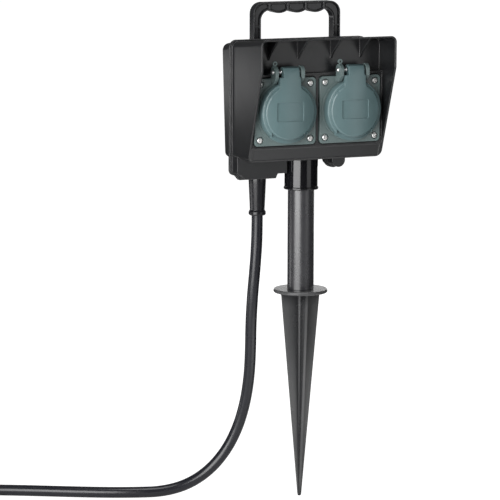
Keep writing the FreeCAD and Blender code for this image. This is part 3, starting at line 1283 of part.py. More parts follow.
def cable_clamp_screws():
    seat = CABLE_Y + CABLE_R + CLAMP_T
    return Part.makeCompound([
        cross_screw(CLAMP_SCREW_R, seat - BAY_FRONT_Y - WALL - 1, CLAMP_SCREW_HEAD_R, CLAMP_SCREW_HEAD_T,
                    (x, seat, mid(CLAMP_Z)), (0, 1, 0))
        for x in clamp_screw_x()
    ])


def poles():
    return [CABLE_X - TERMINAL_PITCH, CABLE_X, CABLE_X + TERMINAL_PITCH]


def terminal_screw_z():
    return [TERMINAL_Z[0] + TERMINAL_SCREW_INSET, TERMINAL_Z[1] - TERMINAL_SCREW_INSET]


def terminal_block():
    block = box(CABLE_X - TERMINAL_HALF, CABLE_X + TERMINAL_HALF, TERMINAL_Y[0], TERMINAL_Y[1], *TERMINAL_Z)
    tools = []
    for x in poles():
        tools.append(rod(TERMINAL_SLEEVE_R + FIT, (x, TERMINAL_POLE_Y, TERMINAL_Z[0] - 1),
                         (x, TERMINAL_POLE_Y, TERMINAL_Z[1] + 1)))
        for z in terminal_screw_z():
            tools.append(rod(TERMINAL_SCREW_R + 0.5, (x, TERMINAL_Y[0] - 1, z), (x, TERMINAL_POLE_Y, z)))
    for x in (CABLE_X - TERMINAL_PITCH / 2, CABLE_X + TERMINAL_PITCH / 2):
        for y in TERMINAL_Y:
            tools.append(box(x - 0.5, x + 0.5, y - 1.2, y + 1.2, TERMINAL_Z[0] - 1, TERMINAL_Z[1] + 1))
    return block.cut(tools)


def terminal_sleeves():
    sleeves = []
    for x in poles():
        sleeve = pipe(TERMINAL_SLEEVE_R, TERMINAL_BORE_R, (x, TERMINAL_POLE_Y, TERMINAL_Z[0] + 0.5),
                      (x, TERMINAL_POLE_Y, TERMINAL_Z[1] - 0.5))
        holes = [rod(TERMINAL_SCREW_R + FIT / 2, (x, TERMINAL_POLE_Y - 4, z), (x, TERMINAL_POLE_Y, z))
                 for z in terminal_screw_z()]
        sleeves.append(sleeve.cut(holes))
    return Part.makeCompound(sleeves)


def terminal_screws():
    screws = []
    for x in poles():
        for z in terminal_screw_z():
            tip = TERMINAL_POLE_Y - CORE_R - FIT
            body = rod(TERMINAL_SCREW_R, (x, TERMINAL_Y[0] + 1.4, z), (x, tip, z))
            slot = box(x - 0.25, x + 0.25, TERMINAL_Y[0] + 1, TERMINAL_Y[0] + 2.1, z - 2, z + 2)
            screws.append(body.cut(slot))
    return Part.makeCompound(screws)


def inner_cable():
    return rod(CABLE_R, (CABLE_X, CABLE_Y, RELIEF_BOTTOM_Z), (CABLE_X, CABLE_Y, SHEATH_END_Z))


def core_tail(x0, y0, pole_x):
    """One core from the end of the sheath into the underside of its terminal."""
    return bent_tube([
        (x0, y0, SHEATH_END_Z), (x0, y0, SHEATH_END_Z + CORE_STUB),
        (pole_x, TERMINAL_POLE_Y, TERMINAL_Z[0] - 2.0), (pole_x, TERMINAL_POLE_Y, TERMINAL_Z[0] + 3.2),
    ], CORE_R)[0]


def live_wires():
    pole = poles()[0]
    top = TERMINAL_Z[1]
    left = pin_places(-SOCKET_X)[0]
    right = pin_places(SOCKET_X)[0]
    feed_z = SOCKET_Z - WIRE_SPLIT
    link_z = SOCKET_Z + WIRE_SPLIT
    high_z = link_z + LIVE_LINK_RISE
    feed = bent_tube([(pole, TERMINAL_POLE_Y, top - WIRE_IN_TERMINAL),
                      (pole, TERMINAL_POLE_Y, top + LIVE_RISE[0]),
                      (pole, LIVE_FEED_Y, top + LIVE_RISE[1]), (left, LIVE_FEED_Y, feed_z),
                      (left, SLEEVE_END_Y, feed_z)], CORE_R)[0]
    link = bent_tube([(left, SLEEVE_END_Y, link_z), (left, LIVE_LINK_Y, link_z), (left, LIVE_LINK_Y, high_z),
                      (right, LIVE_LINK_Y, high_z), (right, LIVE_LINK_Y, SOCKET_Z),
                      (right, SLEEVE_END_Y, SOCKET_Z)], CORE_R)[0]
    return Part.makeCompound([core_tail(CABLE_X - CORE_OFFSET, CABLE_Y - CORE_OFFSET / 2, pole), feed, link])


def neutral_wires():
    pole = poles()[1]
    top = TERMINAL_Z[1]
    left = pin_places(-SOCKET_X)[1]
    right = pin_places(SOCKET_X)[1]
    feed_z = SOCKET_Z - WIRE_SPLIT
    link_z = SOCKET_Z + WIRE_SPLIT
    high_z = link_z + NEUTRAL_LINK_RISE
    feed = bent_tube([(pole, TERMINAL_POLE_Y, top - WIRE_IN_TERMINAL),
                      (pole, TERMINAL_POLE_Y, top + NEUTRAL_RISE[0]),
                      (pole + NEUTRAL_SIDESTEP, NEUTRAL_FEED_Y, top + NEUTRAL_RISE[1]),
                      (left, NEUTRAL_FEED_Y, feed_z - NEUTRAL_SIDESTEP), (left, NEUTRAL_FEED_Y, feed_z),
                      (left, SLEEVE_END_Y, feed_z)], CORE_R)[0]
    link = bent_tube([(left, SLEEVE_END_Y, link_z), (left, NEUTRAL_LINK_Y, link_z),
                      (left, NEUTRAL_LINK_Y, high_z),
                      (right, NEUTRAL_LINK_Y, high_z), (right, NEUTRAL_LINK_Y, SOCKET_Z),
                      (right, SLEEVE_END_Y, SOCKET_Z)], CORE_R)[0]
    return Part.makeCompound([core_tail(CABLE_X, CABLE_Y + 2 * CORE_R, pole), feed, link])


def earth_wires():
    pole = poles()[2]
    top = TERMINAL_Z[1]
    join_z = SOCKET_Z - EARTH_JOIN_DROP
    feed_x = -SOCKET_X - EARTH_SPLIT
    link_x = -SOCKET_X + EARTH_SPLIT
    feed = bent_tube([(pole, TERMINAL_POLE_Y, top - WIRE_IN_TERMINAL),
                      (pole, TERMINAL_POLE_Y, top + EARTH_RISE),
                      (feed_x, TERMINAL_POLE_Y, join_z), (feed_x, STRAP_BACK_Y, join_z)], CORE_R)[0]
    link = bent_tube([(link_x, STRAP_BACK_Y, join_z), (link_x, EARTH_LINK_Y, join_z),
                      (SOCKET_X, EARTH_LINK_Y, join_z), (SOCKET_X, STRAP_BACK_Y, join_z)], CORE_R)[0]
    return Part.makeCompound([core_tail(CABLE_X + CORE_OFFSET, CABLE_Y - CORE_OFFSET / 2, pole), feed, link])


# The cable outside, its coil and the plug

def coil_frame():
    """Where the coil's turns start and the way they start, at the end of the laid route."""
    end = V(*CABLE_ROUTE[-1])
    way = end - V(*CABLE_ROUTE[-2])
    way.normalize()
    return end, way


def coil_radius(phi, middle):
    """Spiral in at a steady rate to the middle turn, then out again."""
    away = math.sqrt((phi - middle) ** 2 + COIL_SOFTEN**2)
    least = COIL_MEAN_R - COIL_PITCH * COIL_TURNS / 4
    return least + COIL_PITCH / (2 * math.pi) * away


def coil_height(phi, middle):
    """Climb one layer over the half turn about the middle."""
    share = min(max((phi - middle) / math.pi + 0.5, 0.0), 1.0)
    return LAID_Z + COIL_PITCH * share * share * (3 - 2 * share)


def coil_points():
    """Points and directions along the coil, at even angles."""
    end, way = coil_frame()
    start = end + way * (2 * CABLE_R)
    total = COIL_TURNS * 2 * math.pi
    middle = total / 2
    small = 1e-4
    slope = (coil_radius(small, middle) - coil_radius(0, middle)) / small
    lead = math.atan2(way.y, way.x) - math.pi / 2 + math.atan(slope / coil_radius(0, middle))
    first = coil_radius(0, middle)
    centre = start - V(first * math.cos(lead), first * math.sin(lead), 0)

    def place(phi):
        r = coil_radius(phi, middle)
        return V(centre.x + r * math.cos(lead + phi), centre.y + r * math.sin(lead + phi),
                 coil_height(phi, middle))

    steps = round(COIL_TURNS * COIL_STEPS_PER_TURN)
    points = []
    for i in range(steps + 1):
        phi = total * i / steps
        heading = place(phi + small) - place(phi - small)
        heading.normalize()
        points.append((place(phi), heading))
    points[0] = (points[0][0], way)
    last = points[-1][1]
    flat = V(last.x, last.y, 0)
    flat.normalize()
    points[-1] = (points[-1][0], flat)
    return points


def tail_end():
    """Where the cable meets the guard of the plug, and its direction there."""
    last, way = coil_points()[-1]
    rise = GROUND_Z + PLUG_R - last.z
    return last + way * TAIL_LENGTH + V(0, 0, rise), way


def cable_coil():
    points = coil_points()
    end, way = coil_frame()
    edges = [Part.LineSegment(end, points[0][0]).toShape()]
    for (p0, t0), (p1, t1) in zip(points, points[1:]):
        edges += biarc(p0, t0, p1, t1)
    stop, heading = tail_end()
    edges += biarc(points[-1][0], points[-1][1], stop, heading)
    edges.append(Part.LineSegment(stop, stop + heading * (2 * CABLE_R)).toShape())
    length = sum(e.Length for e in edges)
    print("coil: least gap to itself %.2f mm" % least_gap(edges))
    return swept(edges, CABLE_R, end, way), length


def least_gap(edges):
    """Least free gap between stretches of the coil that are more than a quarter turn apart."""
    samples = []
    travelled = 0.0
    for edge in edges:
        count = max(2, int(edge.Length / 3))
        for i in range(count):
            at = edge.FirstParameter + (edge.LastParameter - edge.FirstParameter) * i / count
            samples.append((travelled + edge.Length * i / count, edge.valueAt(at)))
        travelled += edge.Length
    least = 1e9
    for i, (s, p) in enumerate(samples):
        for t, q in samples[i + 1:]:
            if abs(t - s) > 70:
                least = min(least, (p - q).Length)
    return least - 2 * CABLE_R


def supply_cable():
    tube, least, length = bent_tube(CABLE_ROUTE, CABLE_R)
    ideal = math.pi * CABLE_R**2 * length
    print("route: length %.1f mm, least radius %.1f mm, volume %.4f of section times length"
          % (length, least, tube.Volume / ideal))
    return tube, length


def plug_frame():
    """Start of the plug's guard and its axis."""
    stop, heading = tail_end()
    return stop + heading * (2 * CABLE_R), heading


def along_plug(shape):
    """Place a shape made along +Z with its sides along X and Y on the plug's axis."""
    start, heading = plug_frame()
    across = V(-heading.y, heading.x, 0)
    matrix = FreeCAD.Matrix(across.x, 0, heading.x, start.x,
                            across.y, 0, heading.y, start.y,
                            0, 1, 0, start.z,
                            0, 0, 0, 1)
    if matrix.determinant() < 0:
        across = across * -1
        matrix = FreeCAD.Matrix(across.x, 0, heading.x, start.x,
                                across.y, 0, heading.y, start.y,
                                0, 1, 0, start.z,
                                0, 0, 0, 1)
    placed = shape.copy()
    placed.Placement = FreeCAD.Placement(matrix)
    return placed


def plug_guard():
    rings = []
    for i in range(4):
        s = 3.0 + 4.2 * i
        r = CABLE_R + 1.4 + 0.45 * i
        rings += [(r + 0.5, s), (r + 0.5, s + 2.6), (r - 0.4, s + 2.9), (r - 0.4, s + 4.1)]
    profile = [(0, 0), (CABLE_R + 0.9, 0)] + rings
    profile += [(8.2, PLUG_GUARD_LENGTH - 1.5), (8.2, PLUG_GUARD_LENGTH), (0, PLUG_GUARD_LENGTH)]
    return along_plug(turned(profile, (0, 0, 0), (0, 0, 1)))


def plug_body():
    s0 = PLUG_GUARD_LENGTH
    face = s0 + PLUG_BODY_LENGTH
    shoulder = face - PLUG_FACE_LENGTH
    body = turned([
        (0, s0), (9.4, s0), (11.2, s0 + 1.6), (PLUG_NECK_R, s0 + 10), (PLUG_NECK_R, shoulder - 5),
        (PLUG_R - 1.2, shoulder - 1), (PLUG_R, shoulder + 0.6), (PLUG_R, face - 0.8),
        (PLUG_R - 0.8, face), (0, face),
    ], (0, 0, 0), (0, 0, 1))
    tools = []
    for side in (-1, 1):
        x0, x1 = sorted((side * (PLUG_R - PLUG_NOTCH_DEPTH), side * (PLUG_R + 2)))
        tools.append(box(x0, x1, -PLUG_NOTCH_HALF, PLUG_NOTCH_HALF, shoulder + 1, face + 1))
        y0, y1 = sorted((side * (PLUG_R - 1.6), side * (PLUG_R + 2)))
        tools.append(box(-3.2, 3.2, y0, y1, face - PLUG_EARTH_LENGTH, face + 1))
        x = side * PIN_PITCH / 2
        tools.append(rod(PLUG_PIN_R + FIT / 2, (x, 0, face - 12), (x, 0, face + 1)))
    for i in range(5):
        s = s0 + 9.5 + i * 2.7
        tools.append(pipe(PLUG_NECK_R + 2, PLUG_NECK_R - 0.7, (0, 0, s), (0, 0, s + 1.1)))
    return along_plug(body.cut(tools))


def plug_pins():
    face = PLUG_GUARD_LENGTH + PLUG_BODY_LENGTH
    pins = []
    for side in (-1, 1):
        r = PLUG_PIN_R
        end = face + PLUG_PIN_LENGTH
        pin = turned([(0, face - 11.5), (r, face - 11.5), (r, end - 1.2),
                      (r - 0.5, end - 0.3), (r - 1.3, end), (0, end)],
                     (side * PIN_PITCH / 2, 0, 0), (0, 0, 1))
        pins.append(along_plug_group(pin))
    return Part.makeCompound(pins)


def along_plug_group(shape):
    """Place a shape that already has a placement of its own."""
    return along_plug(Part.makeCompound([shape])).Solids[0]


def plug_earth_clips():
    face = PLUG_GUARD_LENGTH + PLUG_BODY_LENGTH
    clips = []
    for side in (-1, 1):
        y0, y1 = sorted((side * (PLUG_R - 1.5), side * (PLUG_R - 0.6)))
        clips.append(along_plug(box(-3.0, 3.0, y0, y1, face - PLUG_EARTH_LENGTH + FIT, face)))
    return Part.makeCompound(clips)


def main():
    os.makedirs("parts", exist_ok=True)
    save("front_housing", front_housing())
    save("rear_housing", rear_housing())
    save("housing_seal", housing_seal())
    save("housing_screws_long", housing_screws(corner_screws(), SCREW_SEAT_Y, SCREW_REACH))
    save("housing_screws_short",
         housing_screws([BAY_SCREW, LUG_SCREW], SHORT_SCREW_SEAT_Y, SHORT_SCREW_REACH))
    save("carry_handle", carry_handle())
    save("pole_collar", pole_collar())
    save("pole_screw", pole_screw())
    save("pole_tube", pole_tube())
    save("ground_spike", ground_spike())
    for name, side in SIDES:
        cx = side * SOCKET_X
        for piece in (socket_flange, flange_seal, flange_screws, socket_insert, shutter, contact_carrier,
                      carrier_screws, contact_sleeves, earth_clips, hinge_pin, lid_spring, lid, lid_seal):
            save(piece.__name__ + "_" + name, piece(cx))
    save("strain_relief", strain_relief())
    save("inner_cable", inner_cable())
    save("cable_clamp", cable_clamp())
    save("cable_clamp_screws", cable_clamp_screws())
    save("terminal_block", terminal_block())
    save("terminal_sleeves", terminal_sleeves())
    save("terminal_screws", terminal_screws())
    save("live_wires", live_wires())
    save("neutral_wires", neutral_wires())
    save("earth_wires", earth_wires())
    route, route_length = supply_cable()
    coil, coil_length = cable_coil()
    save("supply_cable", route)
    save("cable_coil", coil)
    print("cable length outside the housing %.0f mm" % (route_length + coil_length))
    save("plug_guard", plug_guard())
    save("plug_body", plug_body())
    save("plug_pins", plug_pins())
    save("plug_earth_clips", plug_earth_clips())


main()
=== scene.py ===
# %% [markdown]
# # A garden socket on a ground spike
#
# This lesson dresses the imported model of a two-gang garden socket box that
# stands on a pole and a finned spike. The lesson then gives each piece the
# finish of the real object, makes its screws anew and lays its supply cable.

# %% Load the frame
import json
import math

import bmesh
import bpy
from mathutils import Matrix, Quaternion, Vector

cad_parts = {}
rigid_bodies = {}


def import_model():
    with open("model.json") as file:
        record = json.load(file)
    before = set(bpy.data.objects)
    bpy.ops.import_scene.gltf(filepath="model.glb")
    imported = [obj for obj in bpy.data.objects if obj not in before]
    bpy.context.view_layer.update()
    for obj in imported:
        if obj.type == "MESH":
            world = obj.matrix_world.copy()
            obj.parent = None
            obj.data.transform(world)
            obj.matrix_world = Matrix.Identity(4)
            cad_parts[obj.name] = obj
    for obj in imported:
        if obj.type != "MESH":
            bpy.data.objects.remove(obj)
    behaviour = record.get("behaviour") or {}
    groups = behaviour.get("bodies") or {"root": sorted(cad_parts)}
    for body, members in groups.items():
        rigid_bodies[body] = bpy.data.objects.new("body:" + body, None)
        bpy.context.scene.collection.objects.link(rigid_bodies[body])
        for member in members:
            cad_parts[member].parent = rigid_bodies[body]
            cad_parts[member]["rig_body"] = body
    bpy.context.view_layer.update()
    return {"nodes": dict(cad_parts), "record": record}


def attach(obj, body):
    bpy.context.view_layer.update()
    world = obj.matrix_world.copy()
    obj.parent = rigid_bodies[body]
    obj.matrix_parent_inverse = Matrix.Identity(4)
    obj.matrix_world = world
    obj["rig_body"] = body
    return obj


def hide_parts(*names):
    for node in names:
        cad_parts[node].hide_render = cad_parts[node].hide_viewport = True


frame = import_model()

scene = bpy.context.scene
MM = 0.001

# %% [markdown]
# ## Small tools
#
# Four short helpers are used all through the lesson. One makes an object from
# a bmesh, one turns an object with live modifiers into a plain mesh, one
# looks up the body that a piece moves with, and one sets smooth shading.

# %% Helpers for meshes
def object_from_bmesh(name, build):
    """Write a bmesh into a new object of the scene."""
    mesh = bpy.data.meshes.new(name)
    build.to_mesh(mesh)
    build.free()
    made = bpy.data.objects.new(name, mesh)
    scene.collection.objects.link(made)
    return made


def settle(made):
    """Replace an object's mesh by its evaluated one and drop its modifiers."""
    bpy.context.view_layer.update()
    graph = bpy.context.evaluated_depsgraph_get()
    plain = bpy.data.meshes.new_from_object(made.evaluated_get(graph))
    made.modifiers.clear()
    made.data = plain
    return made


def body_of_node(node_name):
    """The CAD body that holds a node."""
    return frame["nodes"][node_name]["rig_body"]


def shade(mesh, sharp_degrees=30.0):
    """Smooth shading with edges kept sharp above an angle."""
    mesh.shade_smooth()
    mesh.set_sharp_from_angle(angle=math.radians(sharp_degrees))


# %% [markdown]
# ## Shared surface effects
#
# Several finishes share the same effects, so each effect is a shader node
# group that is built once and placed in every material that needs it. A group
# puts out only heights, normals, masks and values. The Principled shader
# stays in the material, because the export can't read it inside a group.

# %% Helpers for nodes
def feed(tree, value, socket):
    """Give an input a link from another node, or a plain value."""
    if isinstance(value, bpy.types.NodeSocket):
        tree.links.new(value, socket)
    else:
        socket.default_value = value


def node(tree, kind, inputs=None, **settings):
    """Add a node, set its properties, and then set its named inputs."""
    made = tree.nodes.new(kind)
    for key, value in settings.items():
        setattr(made, key, value)
    for label, value in (inputs or {}).items():
        feed(tree, value, made.inputs[label])
    return made


def math_node(tree, operation, first, second):
    """A Math node whose inputs are sockets or numbers."""
    made = node(tree, "ShaderNodeMath", operation=operation)
    feed(tree, first, made.inputs[0])
    feed(tree, second, made.inputs[1])
    return made.outputs[0]


def new_group(name, inputs, outputs):
    """A shader node group with named sockets. Inputs are (name, type, value)."""
    group = bpy.data.node_groups.new(name, "ShaderNodeTree")
    for label, kind, value in inputs:
        socket = group.interface.new_socket(label, in_out="INPUT", socket_type="NodeSocket" + kind)
        socket.default_value = value
    for label, kind in outputs:
        group.interface.new_socket(label, in_out="OUTPUT", socket_type="NodeSocket" + kind)
    entry = group.nodes.new("NodeGroupInput")
    exit_node = group.nodes.new("NodeGroupOutput")
    return group, entry, exit_node


# %% [markdown]
# ### Grain
#
# A moulded skin carries the fine texture of its steel mould. That texture is
# far too small to model as faces, and a picture of it would need a UV map on
# every piece. Two noises do it instead: a fine one for the texture and a
# coarse one for the slow waves of the skin. They read Object coordinates, so
# the grain has the same size on every piece.

# %% The grain of a moulded surface
COARSE_PER_FINE = 0.04


def build_grain_group():
    """Fine two-scale grain on Object coordinates, as a height and a mask."""
    group, entry, out = new_group(
        "moulded_grain",
        [("Scale", "Float", 2600.0), ("Coarse share", "Float", 0.35)],
        [("Height", "Float"), ("Mask", "Float")],
    )
    place = node(group, "ShaderNodeTexCoord").outputs["Object"]
    fine_scale = entry.outputs["Scale"]
    coarse_scale = math_node(group, "MULTIPLY", fine_scale, COARSE_PER_FINE)
    fine = node(group, "ShaderNodeTexNoise",
                {"Vector": place, "Scale": fine_scale, "Detail": 3.0, "Roughness": 0.6})
    coarse = node(group, "ShaderNodeTexNoise", {"Vector": place, "Scale": coarse_scale, "Detail": 2.0})
    waves = math_node(group, "MULTIPLY", coarse.outputs["Fac"], entry.outputs["Coarse share"])
    feed(group, math_node(group, "ADD", fine.outputs["Fac"], waves), out.inputs["Height"])
    feed(group, coarse.outputs["Fac"], out.inputs["Mask"])
    return group


GRAIN = build_grain_group()
print("effect:", GRAIN.name)

# %% [markdown]
# ### Edges
#
# No moulded edge is truly sharp, and its small rounding catches the light. A
# Bevel modifier on fifty pieces would cost many faces. The Bevel shader node
# rounds only the normal. Where the rounded normal leaves the flat one there
# is an edge, and that gives a mask for a paler rim as well, paler from wear
# and, on some finishes, from a painted highlight.

# %% Edges that catch the light
RIM_CONTRAST = 4.0


def build_edge_group():
    """A rounded normal near edges, and a mask of how close an edge is."""
    group, entry, out = new_group(
        "rounded_edges",
        [("Radius", "Float", 0.5 * MM)],
        [("Normal", "Vector"), ("Edge", "Float")],
    )
    rounded = node(group, "ShaderNodeBevel", {"Radius": entry.outputs["Radius"]}, samples=6).outputs["Normal"]
    flat = node(group, "ShaderNodeNewGeometry").outputs["Normal"]
    compare = node(group, "ShaderNodeVectorMath", operation="DOT_PRODUCT")
    feed(group, rounded, compare.inputs[0])
    feed(group, flat, compare.inputs[1])
    away = math_node(group, "SUBTRACT", 1.0, compare.outputs["Value"])
    feed(group, math_node(group, "MULTIPLY", away, RIM_CONTRAST), out.inputs["Edge"])
    feed(group, rounded, out.inputs["Normal"])
    return group


EDGES = build_edge_group()
print("effect:", EDGES.name)

# %% [markdown]
# ### Handling marks
#
# Hands and cloths leave some places glossier than others. One soft noise
# moves the roughness between a low and a high value, and each material
# chooses the two. A mask on the colour would show as stains, so the marks are
# in the gloss alone.

# %% Handling marks
NOISE_LOW, NOISE_HIGH = 0.3, 0.7


def build_handling_group():
    """Soft patches that change gloss where hands and cloths have been."""
    group, entry, out = new_group(
        "handling",
        [("Scale", "Float", 45.0), ("Low", "Float", 0.36), ("High", "Float", 0.46)],
        [("Roughness", "Float")],
    )
    place = node(group, "ShaderNodeTexCoord").outputs["Object"]
    patches = node(group, "ShaderNodeTexNoise", {
        "Vector": place, "Scale": entry.outputs["Scale"], "Detail": 5.0, "Roughness": 0.55, "Distortion": 0.6,
    })
    spread = node(group, "ShaderNodeMapRange", {
        "Value": patches.outputs["Fac"], "From Min": NOISE_LOW, "From Max": NOISE_HIGH,
        "To Min": entry.outputs["Low"], "To Max": entry.outputs["High"],
    })
    feed(group, spread.outputs["Result"], out.inputs["Roughness"])
    return group


HANDLING = build_handling_group()
print("effect:", HANDLING.name)

# %% [markdown]
# ### The crown of a lid
#
# On the real object the brightness of each lid changes slowly from side to
# side, as on a face with a slight crown. The solid lids have flat faces. A
# bump height that falls off with the square of the distance from the lid's
# middle bends the light in the same way, and leaves the solid's shape alone.

# %% The slight crown of a lid
SOCKET_X = 26.6 * MM


def build_crown_group():
    """A height that falls off to both sides of each lid's middle, on Object coordinates."""
    group, entry, out = new_group("lid_crown", [("Amount", "Float", 4.0)], [("Height", "Float")])
    place = node(group, "ShaderNodeTexCoord").outputs["Object"]
    parts = node(group, "ShaderNodeSeparateXYZ", {"Vector": place})
    from_pole = math_node(group, "ABSOLUTE", parts.outputs["X"], 0.0)
    aside = math_node(group, "SUBTRACT", from_pole, SOCKET_X)
    curve = math_node(group, "MULTIPLY", aside, aside)
    downwards = math_node(group, "MULTIPLY", entry.outputs["Amount"], -1.0)
    feed(group, math_node(group, "MULTIPLY", curve, downwards), out.inputs["Height"])
    return group


CROWN = build_crown_group()
print("effect:", CROWN.name)

# %% [markdown]
# ## Finishes
#
# Most of the object is moulded plastic: a satin black housing and handle, a
# glossy collar, a spike with painted shade in its crevices, and grey-green
# flanges and lids. They differ only in colour, gloss, grain, wear and painted
# light, so one function builds them all and a table says what each is like.
# Paint and rubber have the same kind of skin and come from the same function.
# The blacks are written very dark, because black plastic gets most of its
# brightness from gloss.

# %% A moulded finish
GRAIN_HEIGHT = 0.2 * MM
CLOUD_STRENGTH = 0.6
WORN_LIFT = 0.012
# How far away a neighbouring surface still darkens a crevice with painted shade, and how sharply that shade
# falls off.
CREVICE_SHADE_REACH = 12 * MM
CREVICE_SHADE_FALLOFF = 3.0


def new_material(name):
    """An empty material with its own Principled shader."""
    material = bpy.data.materials.new(name)
    material.use_nodes = True
    tree = material.node_tree
    return material, tree, tree.nodes["Principled BSDF"]


def effect(tree, group, **values):
    """Place a shared effect in a material with the material's own values."""
    return node(tree, "ShaderNodeGroup", values, node_tree=group)


def layered(tree, below, above, share):
    """Lay one colour over another by a mask. below is a colour or a socket."""
    mix = node(tree, "ShaderNodeMix", {"B": (*above, 1.0), "Factor": share}, data_type="RGBA")
    feed(tree, below if isinstance(below, bpy.types.NodeSocket) else (*below, 1.0), mix.inputs["A"])
    return mix.outputs["Result"]


def moulded(name, colour, gloss=(0.36, 0.46), grain=0.05, edge=0.5 * MM, worn=0.25, specular=0.5,
            painted_edge_highlight=0.0, painted_crevice_shade=0.0, crown=0.0):
    """A moulded skin: clouded colour, rims paler from wear and a painted highlight, fine grain, uneven gloss,
    and painted crevice shade or a crown if asked.
    """
    material, tree, shader = new_material(name)
    shader.inputs["Specular IOR Level"].default_value = specular
    handling = effect(tree, HANDLING, Low=gloss[0], High=gloss[1])
    feed(tree, handling.outputs["Roughness"], shader.inputs["Roughness"])

    edges = effect(tree, EDGES, Radius=edge)
    texture = effect(tree, GRAIN)
    relief = node(tree, "ShaderNodeBump", {
        "Strength": grain, "Distance": GRAIN_HEIGHT,
        "Height": texture.outputs["Height"], "Normal": edges.outputs["Normal"],
    })
    if crown:
        crowned = effect(tree, CROWN, Amount=crown)
        relief = node(tree, "ShaderNodeBump", {
            "Distance": 1.0, "Height": crowned.outputs["Height"], "Normal": relief.outputs["Normal"],
        })
    feed(tree, relief.outputs["Normal"], shader.inputs["Normal"])

    pale = [min(1.0, c * (1 + worn) + WORN_LIFT * worn) for c in colour]
    # Rims are paler from wear, and the edge value adds a painted highlight on them.
    rim = [c + painted_edge_highlight for c in pale]
    clouds = math_node(tree, "MULTIPLY", texture.outputs["Mask"], CLOUD_STRENGTH)
    surface = layered(tree, colour, pale, clouds)
    surface = layered(tree, surface, rim, edges.outputs["Edge"])
    # Painted shade: open faces are lifted to a paler colour, while crevices between the fins keep the darker
    # base as if shaded.
    if painted_crevice_shade:
        open_face = node(tree, "ShaderNodeAmbientOcclusion", {"Distance": CREVICE_SHADE_REACH}, samples=8)
        unshaded_share = math_node(tree, "POWER", open_face.outputs["AO"], CREVICE_SHADE_FALLOFF)
        surface = layered(tree, surface, [c + painted_crevice_shade for c in colour], unshaded_share)
    feed(tree, surface, shader.inputs["Base Color"])
    return material


# %% [markdown]
# The screws, springs and contacts are bare or plated metal. Metal has no
# colour of its own under its gloss, so the tint is in the reflection, and
# fine scratches change both the tint and the roughness. It doesn't share the
# moulded grain, but it does share the rounded edges.

# %% A metal finish
SCRATCH_SCALE = 1800.0
SCRATCH_STRENGTH = 0.04
SCRATCH_HEIGHT = 0.1 * MM
METAL_EDGE = 0.2 * MM
SMOOTHER, ROUGHER = 0.8, 1.3
DULLED = 0.86


def metal(name, colour, roughness):
    """A plated or drawn metal whose fine scratches change its gloss and tint."""
    material, tree, shader = new_material(name)
    shader.inputs["Metallic"].default_value = 1.0
    place = node(tree, "ShaderNodeTexCoord").outputs["Object"]
    noise = node(tree, "ShaderNodeTexNoise", {"Vector": place, "Scale": SCRATCH_SCALE, "Detail": 4.0})
    scratches = noise.outputs["Fac"]
    edges = effect(tree, EDGES, Radius=METAL_EDGE)
    relief = node(tree, "ShaderNodeBump", {
        "Strength": SCRATCH_STRENGTH, "Distance": SCRATCH_HEIGHT,
        "Height": scratches, "Normal": edges.outputs["Normal"],
    })
    feed(tree, relief.outputs["Normal"], shader.inputs["Normal"])
    gloss = node(tree, "ShaderNodeMapRange", {
        "Value": scratches, "To Min": roughness * SMOOTHER, "To Max": roughness * ROUGHER,
    })
    feed(tree, gloss.outputs["Result"], shader.inputs["Roughness"])
    tint = layered(tree, [c * DULLED for c in colour], colour, scratches)
    feed(tree, tint, shader.inputs["Base Color"])
    return material


# %% The finishes of this object
# The paler edges of the housing and handle are a painted highlight, and the spike's paler open faces paint
# shade into its crevices.
MOULDINGS = {
    "housing_plastic": dict(colour=(0.009, 0.0095, 0.0105), gloss=(0.30, 0.34), grain=0.012, edge=0.6 * MM,
                            worn=0.08, specular=0.6, painted_edge_highlight=0.10),
    "handle_plastic": dict(colour=(0.011, 0.0115, 0.013), gloss=(0.24, 0.28), grain=0.02, painted_edge_highlight=0.06),
    "collar_plastic": dict(colour=(0.006, 0.006, 0.007), gloss=(0.10, 0.14), grain=0.01, worn=0.1),
    "pole_paint": dict(colour=(0.024, 0.024, 0.027), gloss=(0.26, 0.30), grain=0.02, specular=1.0),
    "spike_plastic": dict(colour=(0.010, 0.0105, 0.012), gloss=(0.24, 0.28), grain=0.02, worn=0.1,
                          painted_crevice_shade=0.055),
    "flange_plastic": dict(colour=(0.105, 0.143, 0.141), gloss=(0.28, 0.36), edge=0.4 * MM),
    "lid_plastic": dict(colour=(0.090, 0.144, 0.150), gloss=(0.28, 0.36), crown=11.0),
    "insert_plastic": dict(colour=(0.045, 0.048, 0.052)),
    "shutter_plastic": dict(colour=(0.42, 0.42, 0.40)),
    "seal_rubber": dict(colour=(0.030, 0.030, 0.032), gloss=(0.5, 0.6), grain=0.1),
    "cable_rubber": dict(colour=(0.008, 0.0085, 0.012), gloss=(0.24, 0.30), grain=0.03),
    "relief_rubber": dict(colour=(0.007, 0.007, 0.009), gloss=(0.18, 0.24), grain=0.02),
    "terminal_plastic": dict(colour=(0.78, 0.77, 0.73)),
    "live_sheath": dict(colour=(0.25, 0.11, 0.05), gloss=(0.25, 0.32)),
    "neutral_sheath": dict(colour=(0.05, 0.20, 0.55), gloss=(0.25, 0.32)),
    "earth_sheath": dict(colour=(0.35, 0.52, 0.06), gloss=(0.25, 0.32)),
    "plug_rubber": dict(colour=(0.018, 0.018, 0.020), gloss=(0.4, 0.5), grain=0.1),
}
METALS = {
    "zinc_steel": dict(colour=(0.90, 0.90, 0.89), roughness=0.38),
    "spring_steel": dict(colour=(0.66, 0.66, 0.67), roughness=0.26),
    "contact_brass": dict(colour=(0.83, 0.66, 0.34), roughness=0.22),
    "contact_nickel": dict(colour=(0.76, 0.74, 0.70), roughness=0.2),
}
FINISH = {name: moulded(name, **look) for name, look in MOULDINGS.items()}
FINISH.update({name: metal(name, **look) for name, look in METALS.items()})
